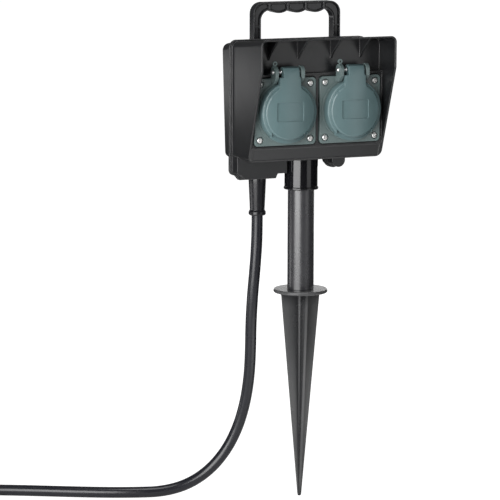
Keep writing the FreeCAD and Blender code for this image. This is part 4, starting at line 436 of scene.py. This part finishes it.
print("finishes:", len(FINISH))

# %% [markdown]
# ## The rigid pieces
#
# The CAD solids already have the right shapes, so they stay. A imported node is
# loose triangles, though, and shades with facets. Each visible piece is
# therefore a copy of its node whose points are merged, with smooth shading
# and face-weighted normals.

# %% Skins over the CAD nodes
MERGE_GAP = 0.002 * MM
LARGE_FACE_WEIGHT = 80


def skin(node_name, finish):
    """A merged, smoothly shaded copy of a CAD node, in its place and finish."""
    build = bmesh.new()
    build.from_mesh(frame["nodes"][node_name].data)
    bmesh.ops.remove_doubles(build, verts=build.verts, dist=MERGE_GAP)
    made = object_from_bmesh("skin_" + node_name, build)
    if "custom_normal" in made.data.attributes:
        made.data.attributes.remove(made.data.attributes["custom_normal"])
    shade(made.data)
    even = made.modifiers.new("even_normals", "WEIGHTED_NORMAL")
    even.keep_sharp = True
    even.weight = LARGE_FACE_WEIGHT
    settle(made)
    made.data.materials.clear()
    made.data.materials.append(FINISH[finish])
    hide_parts(node_name)
    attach(made, body_of_node(node_name))
    return made


CORD_NODES = ("supply_cable", "cable_coil")
SCREW_NODES = ("flange_screws_left", "flange_screws_right", "housing_screws_long", "housing_screws_short")
for part in frame["record"]["subparts"]:
    if part["node"] not in CORD_NODES + SCREW_NODES:
        skin(part["node"], part["material_slot"])

# %% [markdown]
# ## Screws
#
# A screw repeats in every corner, so one master is modelled with care and a
# Geometry Nodes tree sets it on the seats. Each copy is turned by its own
# amount about its axis, because real screws never stop at the same angle. The
# result is baked to one plain mesh for each CAD node that it stands for.
#
# The screw is a profile spun about its axis, because that gives a round head
# with few points to set, and the cross recess is cut from it with a tapered
# tool.

# %% One screw
SPIN_STEPS = 32
SAME_POINT = 1e-7
RECESS_SPAN, RECESS_WIDTH = 1.24, 0.34
RECESS_FLOOR, RECESS_TOP = 0.35, 1.2
RECESS_TAPER = 0.45


def spun_screw(shank_r, length, head_r, head_t):
    """The closed shell of a pan-head screw along +Z, with its seat at the origin."""
    profile = [
        (0.0, -length), (0.3 * shank_r, -length + 0.2 * shank_r), (shank_r, -length + 1.6 * shank_r),
        (shank_r, 0.0), (0.93 * head_r, 0.0), (head_r, 0.14 * head_t), (head_r, 0.42 * head_t),
        (0.94 * head_r, 0.68 * head_t), (0.78 * head_r, 0.88 * head_t), (0.5 * head_r, 0.98 * head_t),
        (0.0, head_t),
    ]
    build = bmesh.new()
    line = [build.verts.new((r, 0.0, z)) for r, z in profile]
    for first, second in zip(line, line[1:]):
        build.edges.new((first, second))
    bmesh.ops.spin(build, geom=build.verts[:] + build.edges[:], cent=(0, 0, 0), axis=(0, 0, 1),
                   angle=2 * math.pi, steps=SPIN_STEPS, use_duplicate=False)
    bmesh.ops.remove_doubles(build, verts=build.verts, dist=SAME_POINT)
    bmesh.ops.recalc_face_normals(build, faces=build.faces)
    return build


def recess_tool(head_r, head_t):
    """Two crossed arms that narrow towards the bottom of the recess."""
    cutter = bmesh.new()
    for turn in (0.0, math.pi / 2):
        arm = bmesh.ops.create_cube(cutter, size=1.0)["verts"]
        for corner in arm:
            low = corner.co.z < 0
            corner.co.x *= RECESS_SPAN * head_r * (RECESS_TAPER if low else 1.0)
            corner.co.y *= RECESS_WIDTH * head_r
            corner.co.z = head_t * (RECESS_FLOOR if low else RECESS_TOP)
        bmesh.ops.rotate(cutter, verts=arm, cent=(0, 0, 0), matrix=Matrix.Rotation(turn, 3, "Z"))
    return cutter


def screw_master(name, shank_r, length, head_r, head_t):
    """A cross-recessed pan-head screw along +Z, with its seat at the origin."""
    made = object_from_bmesh(name, spun_screw(shank_r, length, head_r, head_t))
    tool = object_from_bmesh(name + "_recess", recess_tool(head_r, head_t))
    recess = made.modifiers.new("recess", "BOOLEAN")
    recess.operation = "DIFFERENCE"
    recess.solver = "EXACT"
    recess.use_self = True
    recess.object = tool
    settle(made)
    bpy.data.objects.remove(tool)
    shade(made.data, 35.0)
    return made


# %% A tree that sets a piece on points
def build_scatter_tree():
    """Copies of one object on the points of a mesh, each turned by its own amount."""
    tree = bpy.data.node_groups.new("set_on_points", "GeometryNodeTree")
    sockets = {}
    for label, kind in (("Seats", "Geometry"), ("Piece", "Object"), ("Aim", "Rotation"), ("Turn", "Float"),
                        ("Seed", "Int"), ("Finish", "Material")):
        sockets[label] = tree.interface.new_socket(label, in_out="INPUT", socket_type="NodeSocket" + kind)
    tree.interface.new_socket("Copies", in_out="OUTPUT", socket_type="NodeSocketGeometry")
    entry = tree.nodes.new("NodeGroupInput")
    out = tree.nodes.new("NodeGroupOutput")
    piece = node(tree, "GeometryNodeObjectInfo", {"Object": entry.outputs["Piece"]},
                 transform_space="ORIGINAL")
    chance = node(tree, "FunctionNodeRandomValue", {"Seed": entry.outputs["Seed"]}, data_type="FLOAT")
    tree.links.new(entry.outputs["Turn"], chance.inputs[3])
    spin = node(tree, "FunctionNodeAxisAngleToRotation",
                {"Axis": (0.0, 0.0, 1.0), "Angle": chance.outputs[1]})
    aim = node(tree, "FunctionNodeRotateRotation",
               {"Rotation": entry.outputs["Aim"], "Rotate By": spin.outputs["Rotation"]},
               rotation_space="LOCAL")
    copies = node(tree, "GeometryNodeInstanceOnPoints", {
        "Points": entry.outputs["Seats"], "Instance": piece.outputs["Geometry"],
        "Rotation": aim.outputs["Rotation"],
    })
    real = node(tree, "GeometryNodeRealizeInstances", {"Geometry": copies.outputs["Instances"]})
    finish = node(tree, "GeometryNodeSetMaterial",
                  {"Geometry": real.outputs["Geometry"], "Material": entry.outputs["Finish"]})
    feed(tree, finish.outputs["Geometry"], out.inputs["Copies"])
    return tree, {label: socket.identifier for label, socket in sockets.items()}


SCATTER, SCATTER_KEY = build_scatter_tree()
print("tree:", SCATTER.name, "with inputs", list(SCATTER_KEY))


# %% Bake the copies in place of a node
def screws_on(node_name, master, seats, heads_to, seed):
    """Bake copies of the master onto the seats, in place of one CAD node."""
    mesh = bpy.data.meshes.new("screws_" + node_name)
    mesh.from_pydata(seats, [], [])
    made = bpy.data.objects.new("screws_" + node_name, mesh)
    scene.collection.objects.link(made)
    setting = made.modifiers.new("copies", "NODES")
    setting.node_group = SCATTER
    setting[SCATTER_KEY["Piece"]] = master
    setting[SCATTER_KEY["Aim"]] = tuple(Vector(heads_to).to_track_quat("Z", "Y").to_euler())
    setting[SCATTER_KEY["Turn"]] = math.pi / 2
    setting[SCATTER_KEY["Seed"]] = seed
    setting[SCATTER_KEY["Finish"]] = FINISH["zinc_steel"]
    settle(made)
    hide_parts(node_name)
    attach(made, body_of_node(node_name))
    print(node_name, len(seats), "screws,", len(made.data.polygons), "faces")
    return made


# %% Screws in the sockets' flanges
SHANK_R = 1.45 * MM
SOCKET_Z = 140.4 * MM
HOLE_HALF = 20.5 * MM
FLANGE_SEAT_Y = -26.7 * MM
TO_THE_FRONT, TO_THE_BACK = (0, -1, 0), (0, 1, 0)
flange_master = screw_master("flange_screw", SHANK_R, length=11.0 * MM, head_r=2.3 * MM, head_t=1.7 * MM)
for seed, (side, way) in enumerate((("left", -1), ("right", 1))):
    corners = [(way * SOCKET_X + sx * HOLE_HALF, FLANGE_SEAT_Y, SOCKET_Z + sz * HOLE_HALF)
               for sx in (-1, 1) for sz in (-1, 1)]
    screws_on("flange_screws_" + side, flange_master, corners, TO_THE_FRONT, seed)

# %% Screws in the back of the housing
BACK_HEAD_R, BACK_HEAD_T = 2.9 * MM, 2.2 * MM
LONG_X, LONG_Y = 49.3 * MM, 13.4 * MM
LONG_HEIGHTS = (182.7 * MM, 109.4 * MM)
SHORT_Y = 10.0 * MM
COMPARTMENT_SCREW = (-48.2 * MM, SHORT_Y, 97.7 * MM)
LUG_SCREW = (28.7 * MM, SHORT_Y, 99.5 * MM)
long_master = screw_master("long_screw", SHANK_R, 17.2 * MM, BACK_HEAD_R, BACK_HEAD_T)
corners = [(sx * LONG_X, LONG_Y, z) for sx in (-1, 1) for z in LONG_HEIGHTS]
screws_on("housing_screws_long", long_master, corners, TO_THE_BACK, 3)
short_master = screw_master("short_screw", SHANK_R, 9.4 * MM, BACK_HEAD_R, BACK_HEAD_T)
screws_on("housing_screws_short", short_master, [COMPARTMENT_SCREW, LUG_SCREW], TO_THE_BACK, 5)
for master in (flange_master, long_master, short_master):
    bpy.data.objects.remove(master)

# %% [markdown]
# ## The supply cable
#
# The cable is one smooth NURBS curve: out of the strain relief, down and away
# to the left, over the ground and into a coil that is put away beside the
# object. The laid stretch is given point by point. The coil follows a
# rule, a spiral that winds in on the first layer and out on the second, so
# its points come from a function.

# %% Route of the cable
CABLE_R = 4.25 * MM
GROUND_Z = -157.7 * MM
LAID_Z = GROUND_Z + CABLE_R
CABLE_X = -34.6 * MM
CABLE_Y = 3.5 * MM
EXIT = (CABLE_X, CABLE_Y, 60.2 * MM)
LAID_ROUTE = [
    EXIT,
    (CABLE_X, CABLE_Y, 0.0440),
    (-0.0359, 0.0038, 0.0220),
    (-0.0377, 0.0048, -0.0010),
    (-0.0381, 0.0066, -0.0230),
    (-0.0372, 0.0090, -0.0440),
    (-0.0369, 0.0120, -0.0650),
    (-0.0387, 0.0155, -0.0860),
    (-0.0432, 0.0195, -0.1060),
    (-0.0513, 0.0237, -0.1240),
    (-0.0634, 0.0283, -0.1390),
    (-0.0792, 0.0330, -0.1492),
    (-0.0975, 0.0372, LAID_Z),
    (-0.1165, 0.0423, LAID_Z),
    (-0.1380, 0.0515, LAID_Z),
    (-0.1630, 0.0655, LAID_Z),
    (-0.1900, 0.0815, LAID_Z),
    (-0.2160, 0.0955, LAID_Z),
    (-0.2380, 0.1060, LAID_Z),
    (-0.2630, 0.1195, LAID_Z),
]
print("laid stretch:", len(LAID_ROUTE), "points")

# %% The coil's rule
COIL_TURNS = 3.34
COIL_MEAN_R = 48.5 * MM
COIL_PITCH = 9.3 * MM
COIL_SOFTEN = 0.8
COIL_STEPS_PER_TURN = 16
TAIL_LENGTH = 26 * MM
PLUG_R = 18.7 * MM
# A quadratic curve runs inside its control points by this share of the radius.
COIL_INSET = 0.75 + 0.25 * math.cos(2 * math.pi / COIL_STEPS_PER_TURN)
COIL_TOTAL = COIL_TURNS * 2 * math.pi


def coil_radius(phi):
    """Wind in at a steady rate to the middle turn, then out again."""
    away = math.hypot(phi - COIL_TOTAL / 2, COIL_SOFTEN)
    least = COIL_MEAN_R - COIL_PITCH * COIL_TURNS / 4
    return least + COIL_PITCH / (2 * math.pi) * away


def coil_height(phi):
    """Climb one layer over the half turn about the middle."""
    share = min(max((phi - COIL_TOTAL / 2) / math.pi + 0.5, 0.0), 1.0)
    return LAID_Z + COIL_PITCH * share * share * (3 - 2 * share)


def coil_route():
    """Control points of the coil, and the tail that rises to the plug."""
    end = Vector(LAID_ROUTE[-1])
    way = (end - Vector(LAID_ROUTE[-2])).normalized()
    start = end + way * (2 * CABLE_R)
    small = 1e-4
    slope = (coil_radius(small) - coil_radius(0)) / small
    first = coil_radius(0)
    lead = math.atan2(way.y, way.x) - math.pi / 2 + math.atan(slope / first)
    centre = start - Vector((first * math.cos(lead), first * math.sin(lead), 0))

    def place(phi, grow=1.0):
        """The point of the coil at an angle, or its control point where grow is above 1."""
        r = coil_radius(phi) * grow
        return Vector((
            centre.x + r * math.cos(lead + phi), centre.y + r * math.sin(lead + phi), coil_height(phi),
        ))

    steps = round(COIL_TURNS * COIL_STEPS_PER_TURN)
    points = [place(COIL_TOTAL * (i + 0.5) / steps, 1 / COIL_INSET) for i in range(steps)]
    last = place(COIL_TOTAL)
    away = place(COIL_TOTAL + small) - place(COIL_TOTAL - small)
    heading = Vector((away.x, away.y, 0)).normalized()
    stop = last + heading * TAIL_LENGTH
    stop.z = GROUND_Z + PLUG_R
    rise = stop.z - last.z
    tail = [
        last + heading * (TAIL_LENGTH * 0.3) + Vector((0, 0, 0.02 * rise)),
        last + heading * (TAIL_LENGTH * 0.7) + Vector((0, 0, 0.98 * rise)),
        stop,
        stop + heading * (2 * CABLE_R),
    ]
    return [start] + points + tail


# %% The cable as one smooth curve
def smooth_cord(name, points, radius, finish):
    """A NURBS curve with a round section through a run of control points."""
    line = bpy.data.curves.new(name, "CURVE")
    line.dimensions = "3D"
    line.bevel_depth = radius
    line.bevel_resolution = 6
    line.resolution_u = 8
    line.use_fill_caps = True
    spline = line.splines.new("NURBS")
    spline.points.add(len(points) - 1)
    for point, place in zip(spline.points, points):
        point.co = (*place, 1.0)
    spline.order_u = 3
    spline.use_endpoint_u = True
    line.materials.append(finish)
    made = bpy.data.objects.new(name, line)
    scene.collection.objects.link(made)
    return made


cord_points = [Vector(p) for p in LAID_ROUTE] + coil_route()
cable = smooth_cord("supply_cord", cord_points, CABLE_R, FINISH["cable_rubber"])
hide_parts(*CORD_NODES)
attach(cable, "root")
print("cord:", len(cord_points), "control points")

# %% [markdown]
# ## Floor, light and camera
#
# The object stands in a plain white studio. The camera sees the floor and the
# air as white, through Light Path's Is Camera Ray, so no lamp has to be
# brighter for the background's sake. Every other ray, reflections too, meets
# dim air and a plain floor that is pale only to the front and left of the
# object, where it fills the faces that slope down. The floor's glow is a
# little above white, so the camera doesn't see the object's shadow on it.

# %% The floor
FLOOR_HALF = 14.0
SHEET_CENTRE = (-0.18, -0.22, 0.0)
SHEET_NEAR, SHEET_FAR = 0.4, 0.85
SHEET_PALE, SHEET_DARK = 0.9, 0.03
FLOOR_GLOW = 1.02
FLOOR_SEEN_GREY = 0.25


def white_floor_material():
    """White to the camera. Other rays meet a pale sheet that fades to dark away from its centre."""
    material = bpy.data.materials.new("studio_floor")
    material.use_nodes = True
    tree = material.node_tree
    tree.nodes.clear()
    out = node(tree, "ShaderNodeOutputMaterial")
    rays = node(tree, "ShaderNodeLightPath")
    place = node(tree, "ShaderNodeTexCoord").outputs["Object"]
    aside = node(tree, "ShaderNodeVectorMath", operation="SUBTRACT")
    feed(tree, place, aside.inputs[0])
    feed(tree, SHEET_CENTRE, aside.inputs[1])
    reach = node(tree, "ShaderNodeVectorMath", operation="LENGTH")
    feed(tree, aside.outputs["Vector"], reach.inputs[0])
    sheet = node(tree, "ShaderNodeMapRange", {
        "Value": reach.outputs["Value"], "From Min": SHEET_NEAR, "From Max": SHEET_FAR,
        "To Min": SHEET_PALE, "To Max": SHEET_DARK,
    })
    plain = node(tree, "ShaderNodeBsdfDiffuse", {"Color": sheet.outputs["Result"]})
    lit = node(tree, "ShaderNodeBsdfDiffuse", {"Color": (*[FLOOR_SEEN_GREY] * 3, 1.0)})
    glow = node(tree, "ShaderNodeEmission", {"Strength": FLOOR_GLOW})
    seen = node(tree, "ShaderNodeAddShader")
    tree.links.new(lit.outputs[0], seen.inputs[0])
    tree.links.new(glow.outputs[0], seen.inputs[1])
    pick = node(tree, "ShaderNodeMixShader")
    tree.links.new(rays.outputs["Is Camera Ray"], pick.inputs[0])
    tree.links.new(plain.outputs[0], pick.inputs[1])
    tree.links.new(seen.outputs[0], pick.inputs[2])
    tree.links.new(pick.outputs[0], out.inputs["Surface"])
    return material


build = bmesh.new()
bmesh.ops.create_grid(build, x_segments=1, y_segments=1, size=FLOOR_HALF)
bmesh.ops.translate(build, verts=build.verts, vec=(0, 0, GROUND_Z))
floor = object_from_bmesh("studio_floor", build)
floor.data.materials.append(white_floor_material())
print("floor at", round(GROUND_Z / MM, 1), "mm")

# %% [markdown]
# A dark, glossy object is shaped by what it reflects, so every lamp is a soft
# box that faces the pole, and its place and width are chosen for what should
# shine. The large key box at the front left lights the lids and the faces
# that turn left, and the box above lights the roof. Small boxes at the sides
# and the back keep the object from sinking into black when seen from there.

# %% The light
def facing(turn, rise):
    """A direction from the pole, in degrees to the right of the front and above the ground."""
    around = math.radians(turn)
    raised = math.radians(rise)
    level_share = math.cos(raised)
    return Vector((math.sin(around) * level_share, -math.cos(around) * level_share, math.sin(raised)))


def soft_lamp(name, turn, distance, low, high, width, power, lift=0.0):
    """A soft box from low to high that faces the pole, which the camera doesn't see."""
    data = bpy.data.lights.new(name, "AREA")
    data.shape = "RECTANGLE"
    data.size = width
    data.size_y = high - low
    data.energy = power
    lamp = bpy.data.objects.new(name, data)
    way = facing(turn, lift)
    lamp.location = Vector((0.0, 0.0, (low + high) / 2)) + way * distance
    lamp.rotation_euler = way.to_track_quat("Z", "Y").to_euler()
    lamp.visible_camera = False
    scene.collection.objects.link(lamp)
    return lamp


LAMPS = {
    "key_box": dict(turn=-55.5, distance=1.3, low=-0.15, high=0.75, width=1.16, power=24.5),
    "right_box": dict(turn=29, distance=1.2, low=-0.1, high=0.4, width=0.62, power=1.2),
    "left_glint": dict(turn=-155, distance=0.42, low=0.10, high=0.15, width=0.1, power=0.033),
    "left_low_box": dict(turn=-118, distance=0.95, low=-0.155, high=-0.10, width=0.7, power=0.40),
    "top_box": dict(turn=0, distance=1.4, low=-0.25, high=0.45, width=0.7, power=7.2, lift=75.0),
    "back_right_box": dict(turn=140, distance=1.4, low=-0.1, high=0.6, width=0.4, power=5.0, lift=25.0),
    "back_low_box": dict(turn=148, distance=1.2, low=-0.15, high=0.25, width=1.2, power=2.4),
    "right_side_box": dict(turn=92, distance=1.2, low=0.02, high=0.35, width=0.5, power=0.9),
    "sill_card": dict(turn=22, distance=0.25, low=-0.02, high=0.06, width=0.2, power=0.065, lift=-38.0),
}
for name, place in LAMPS.items():
    soft_lamp(name, **place)
print("lamps:", len(LAMPS))

# %% The air of the studio
AIR_LIGHT = 0.1
AIR_SEEN = 1.1
world = bpy.data.worlds.new("studio")
scene.world = world
world.use_nodes = True
air = world.node_tree
air.nodes.clear()
air_out = node(air, "ShaderNodeOutputWorld")
lit = node(air, "ShaderNodeBackground", {"Strength": AIR_LIGHT})
white = node(air, "ShaderNodeBackground", {"Color": (1.0, 1.0, 1.0, 1.0), "Strength": AIR_SEEN})
rays = node(air, "ShaderNodeLightPath")
pick = node(air, "ShaderNodeMixShader")
air.links.new(rays.outputs["Is Camera Ray"], pick.inputs[0])
air.links.new(lit.outputs[0], pick.inputs[1])
air.links.new(white.outputs[0], pick.inputs[2])
air.links.new(pick.outputs[0], air_out.inputs["Surface"])
scene.view_settings.view_transform = "Standard"
print("world:", world.name)

# %% [markdown]
# The camera sees the object as the photograph does: from left of the front
# and a little above, at about two metres with a long lens, which keeps the
# uprights nearly parallel. It leans by a fifth of a degree. Three angles and
# a place say all that, and are easier to change than a matrix.

# %% The camera
CAMERA_TURN = -24.7255
CAMERA_RISE = 8.7848
CAMERA_LEAN = 0.1835
CAMERA_PLACE = (-0.90767, -1.87974, 0.35429)
camera_data = bpy.data.cameras.new("photo_camera")
camera_data.lens = 201.6
camera_data.sensor_width = 36.0
camera_data.clip_end = 60.0
camera = bpy.data.objects.new("photo_camera", camera_data)
level = facing(CAMERA_TURN, CAMERA_RISE).to_track_quat("Z", "Y")
lean = Quaternion((0.0, 0.0, 1.0), math.radians(CAMERA_LEAN))
camera.matrix_world = Matrix.Translation(CAMERA_PLACE) @ (level @ lean).to_matrix().to_4x4()
scene.collection.objects.link(camera)
scene.camera = camera
print("camera:", camera_data.lens, "mm lens at", round(Vector(CAMERA_PLACE).length, 2), "m")
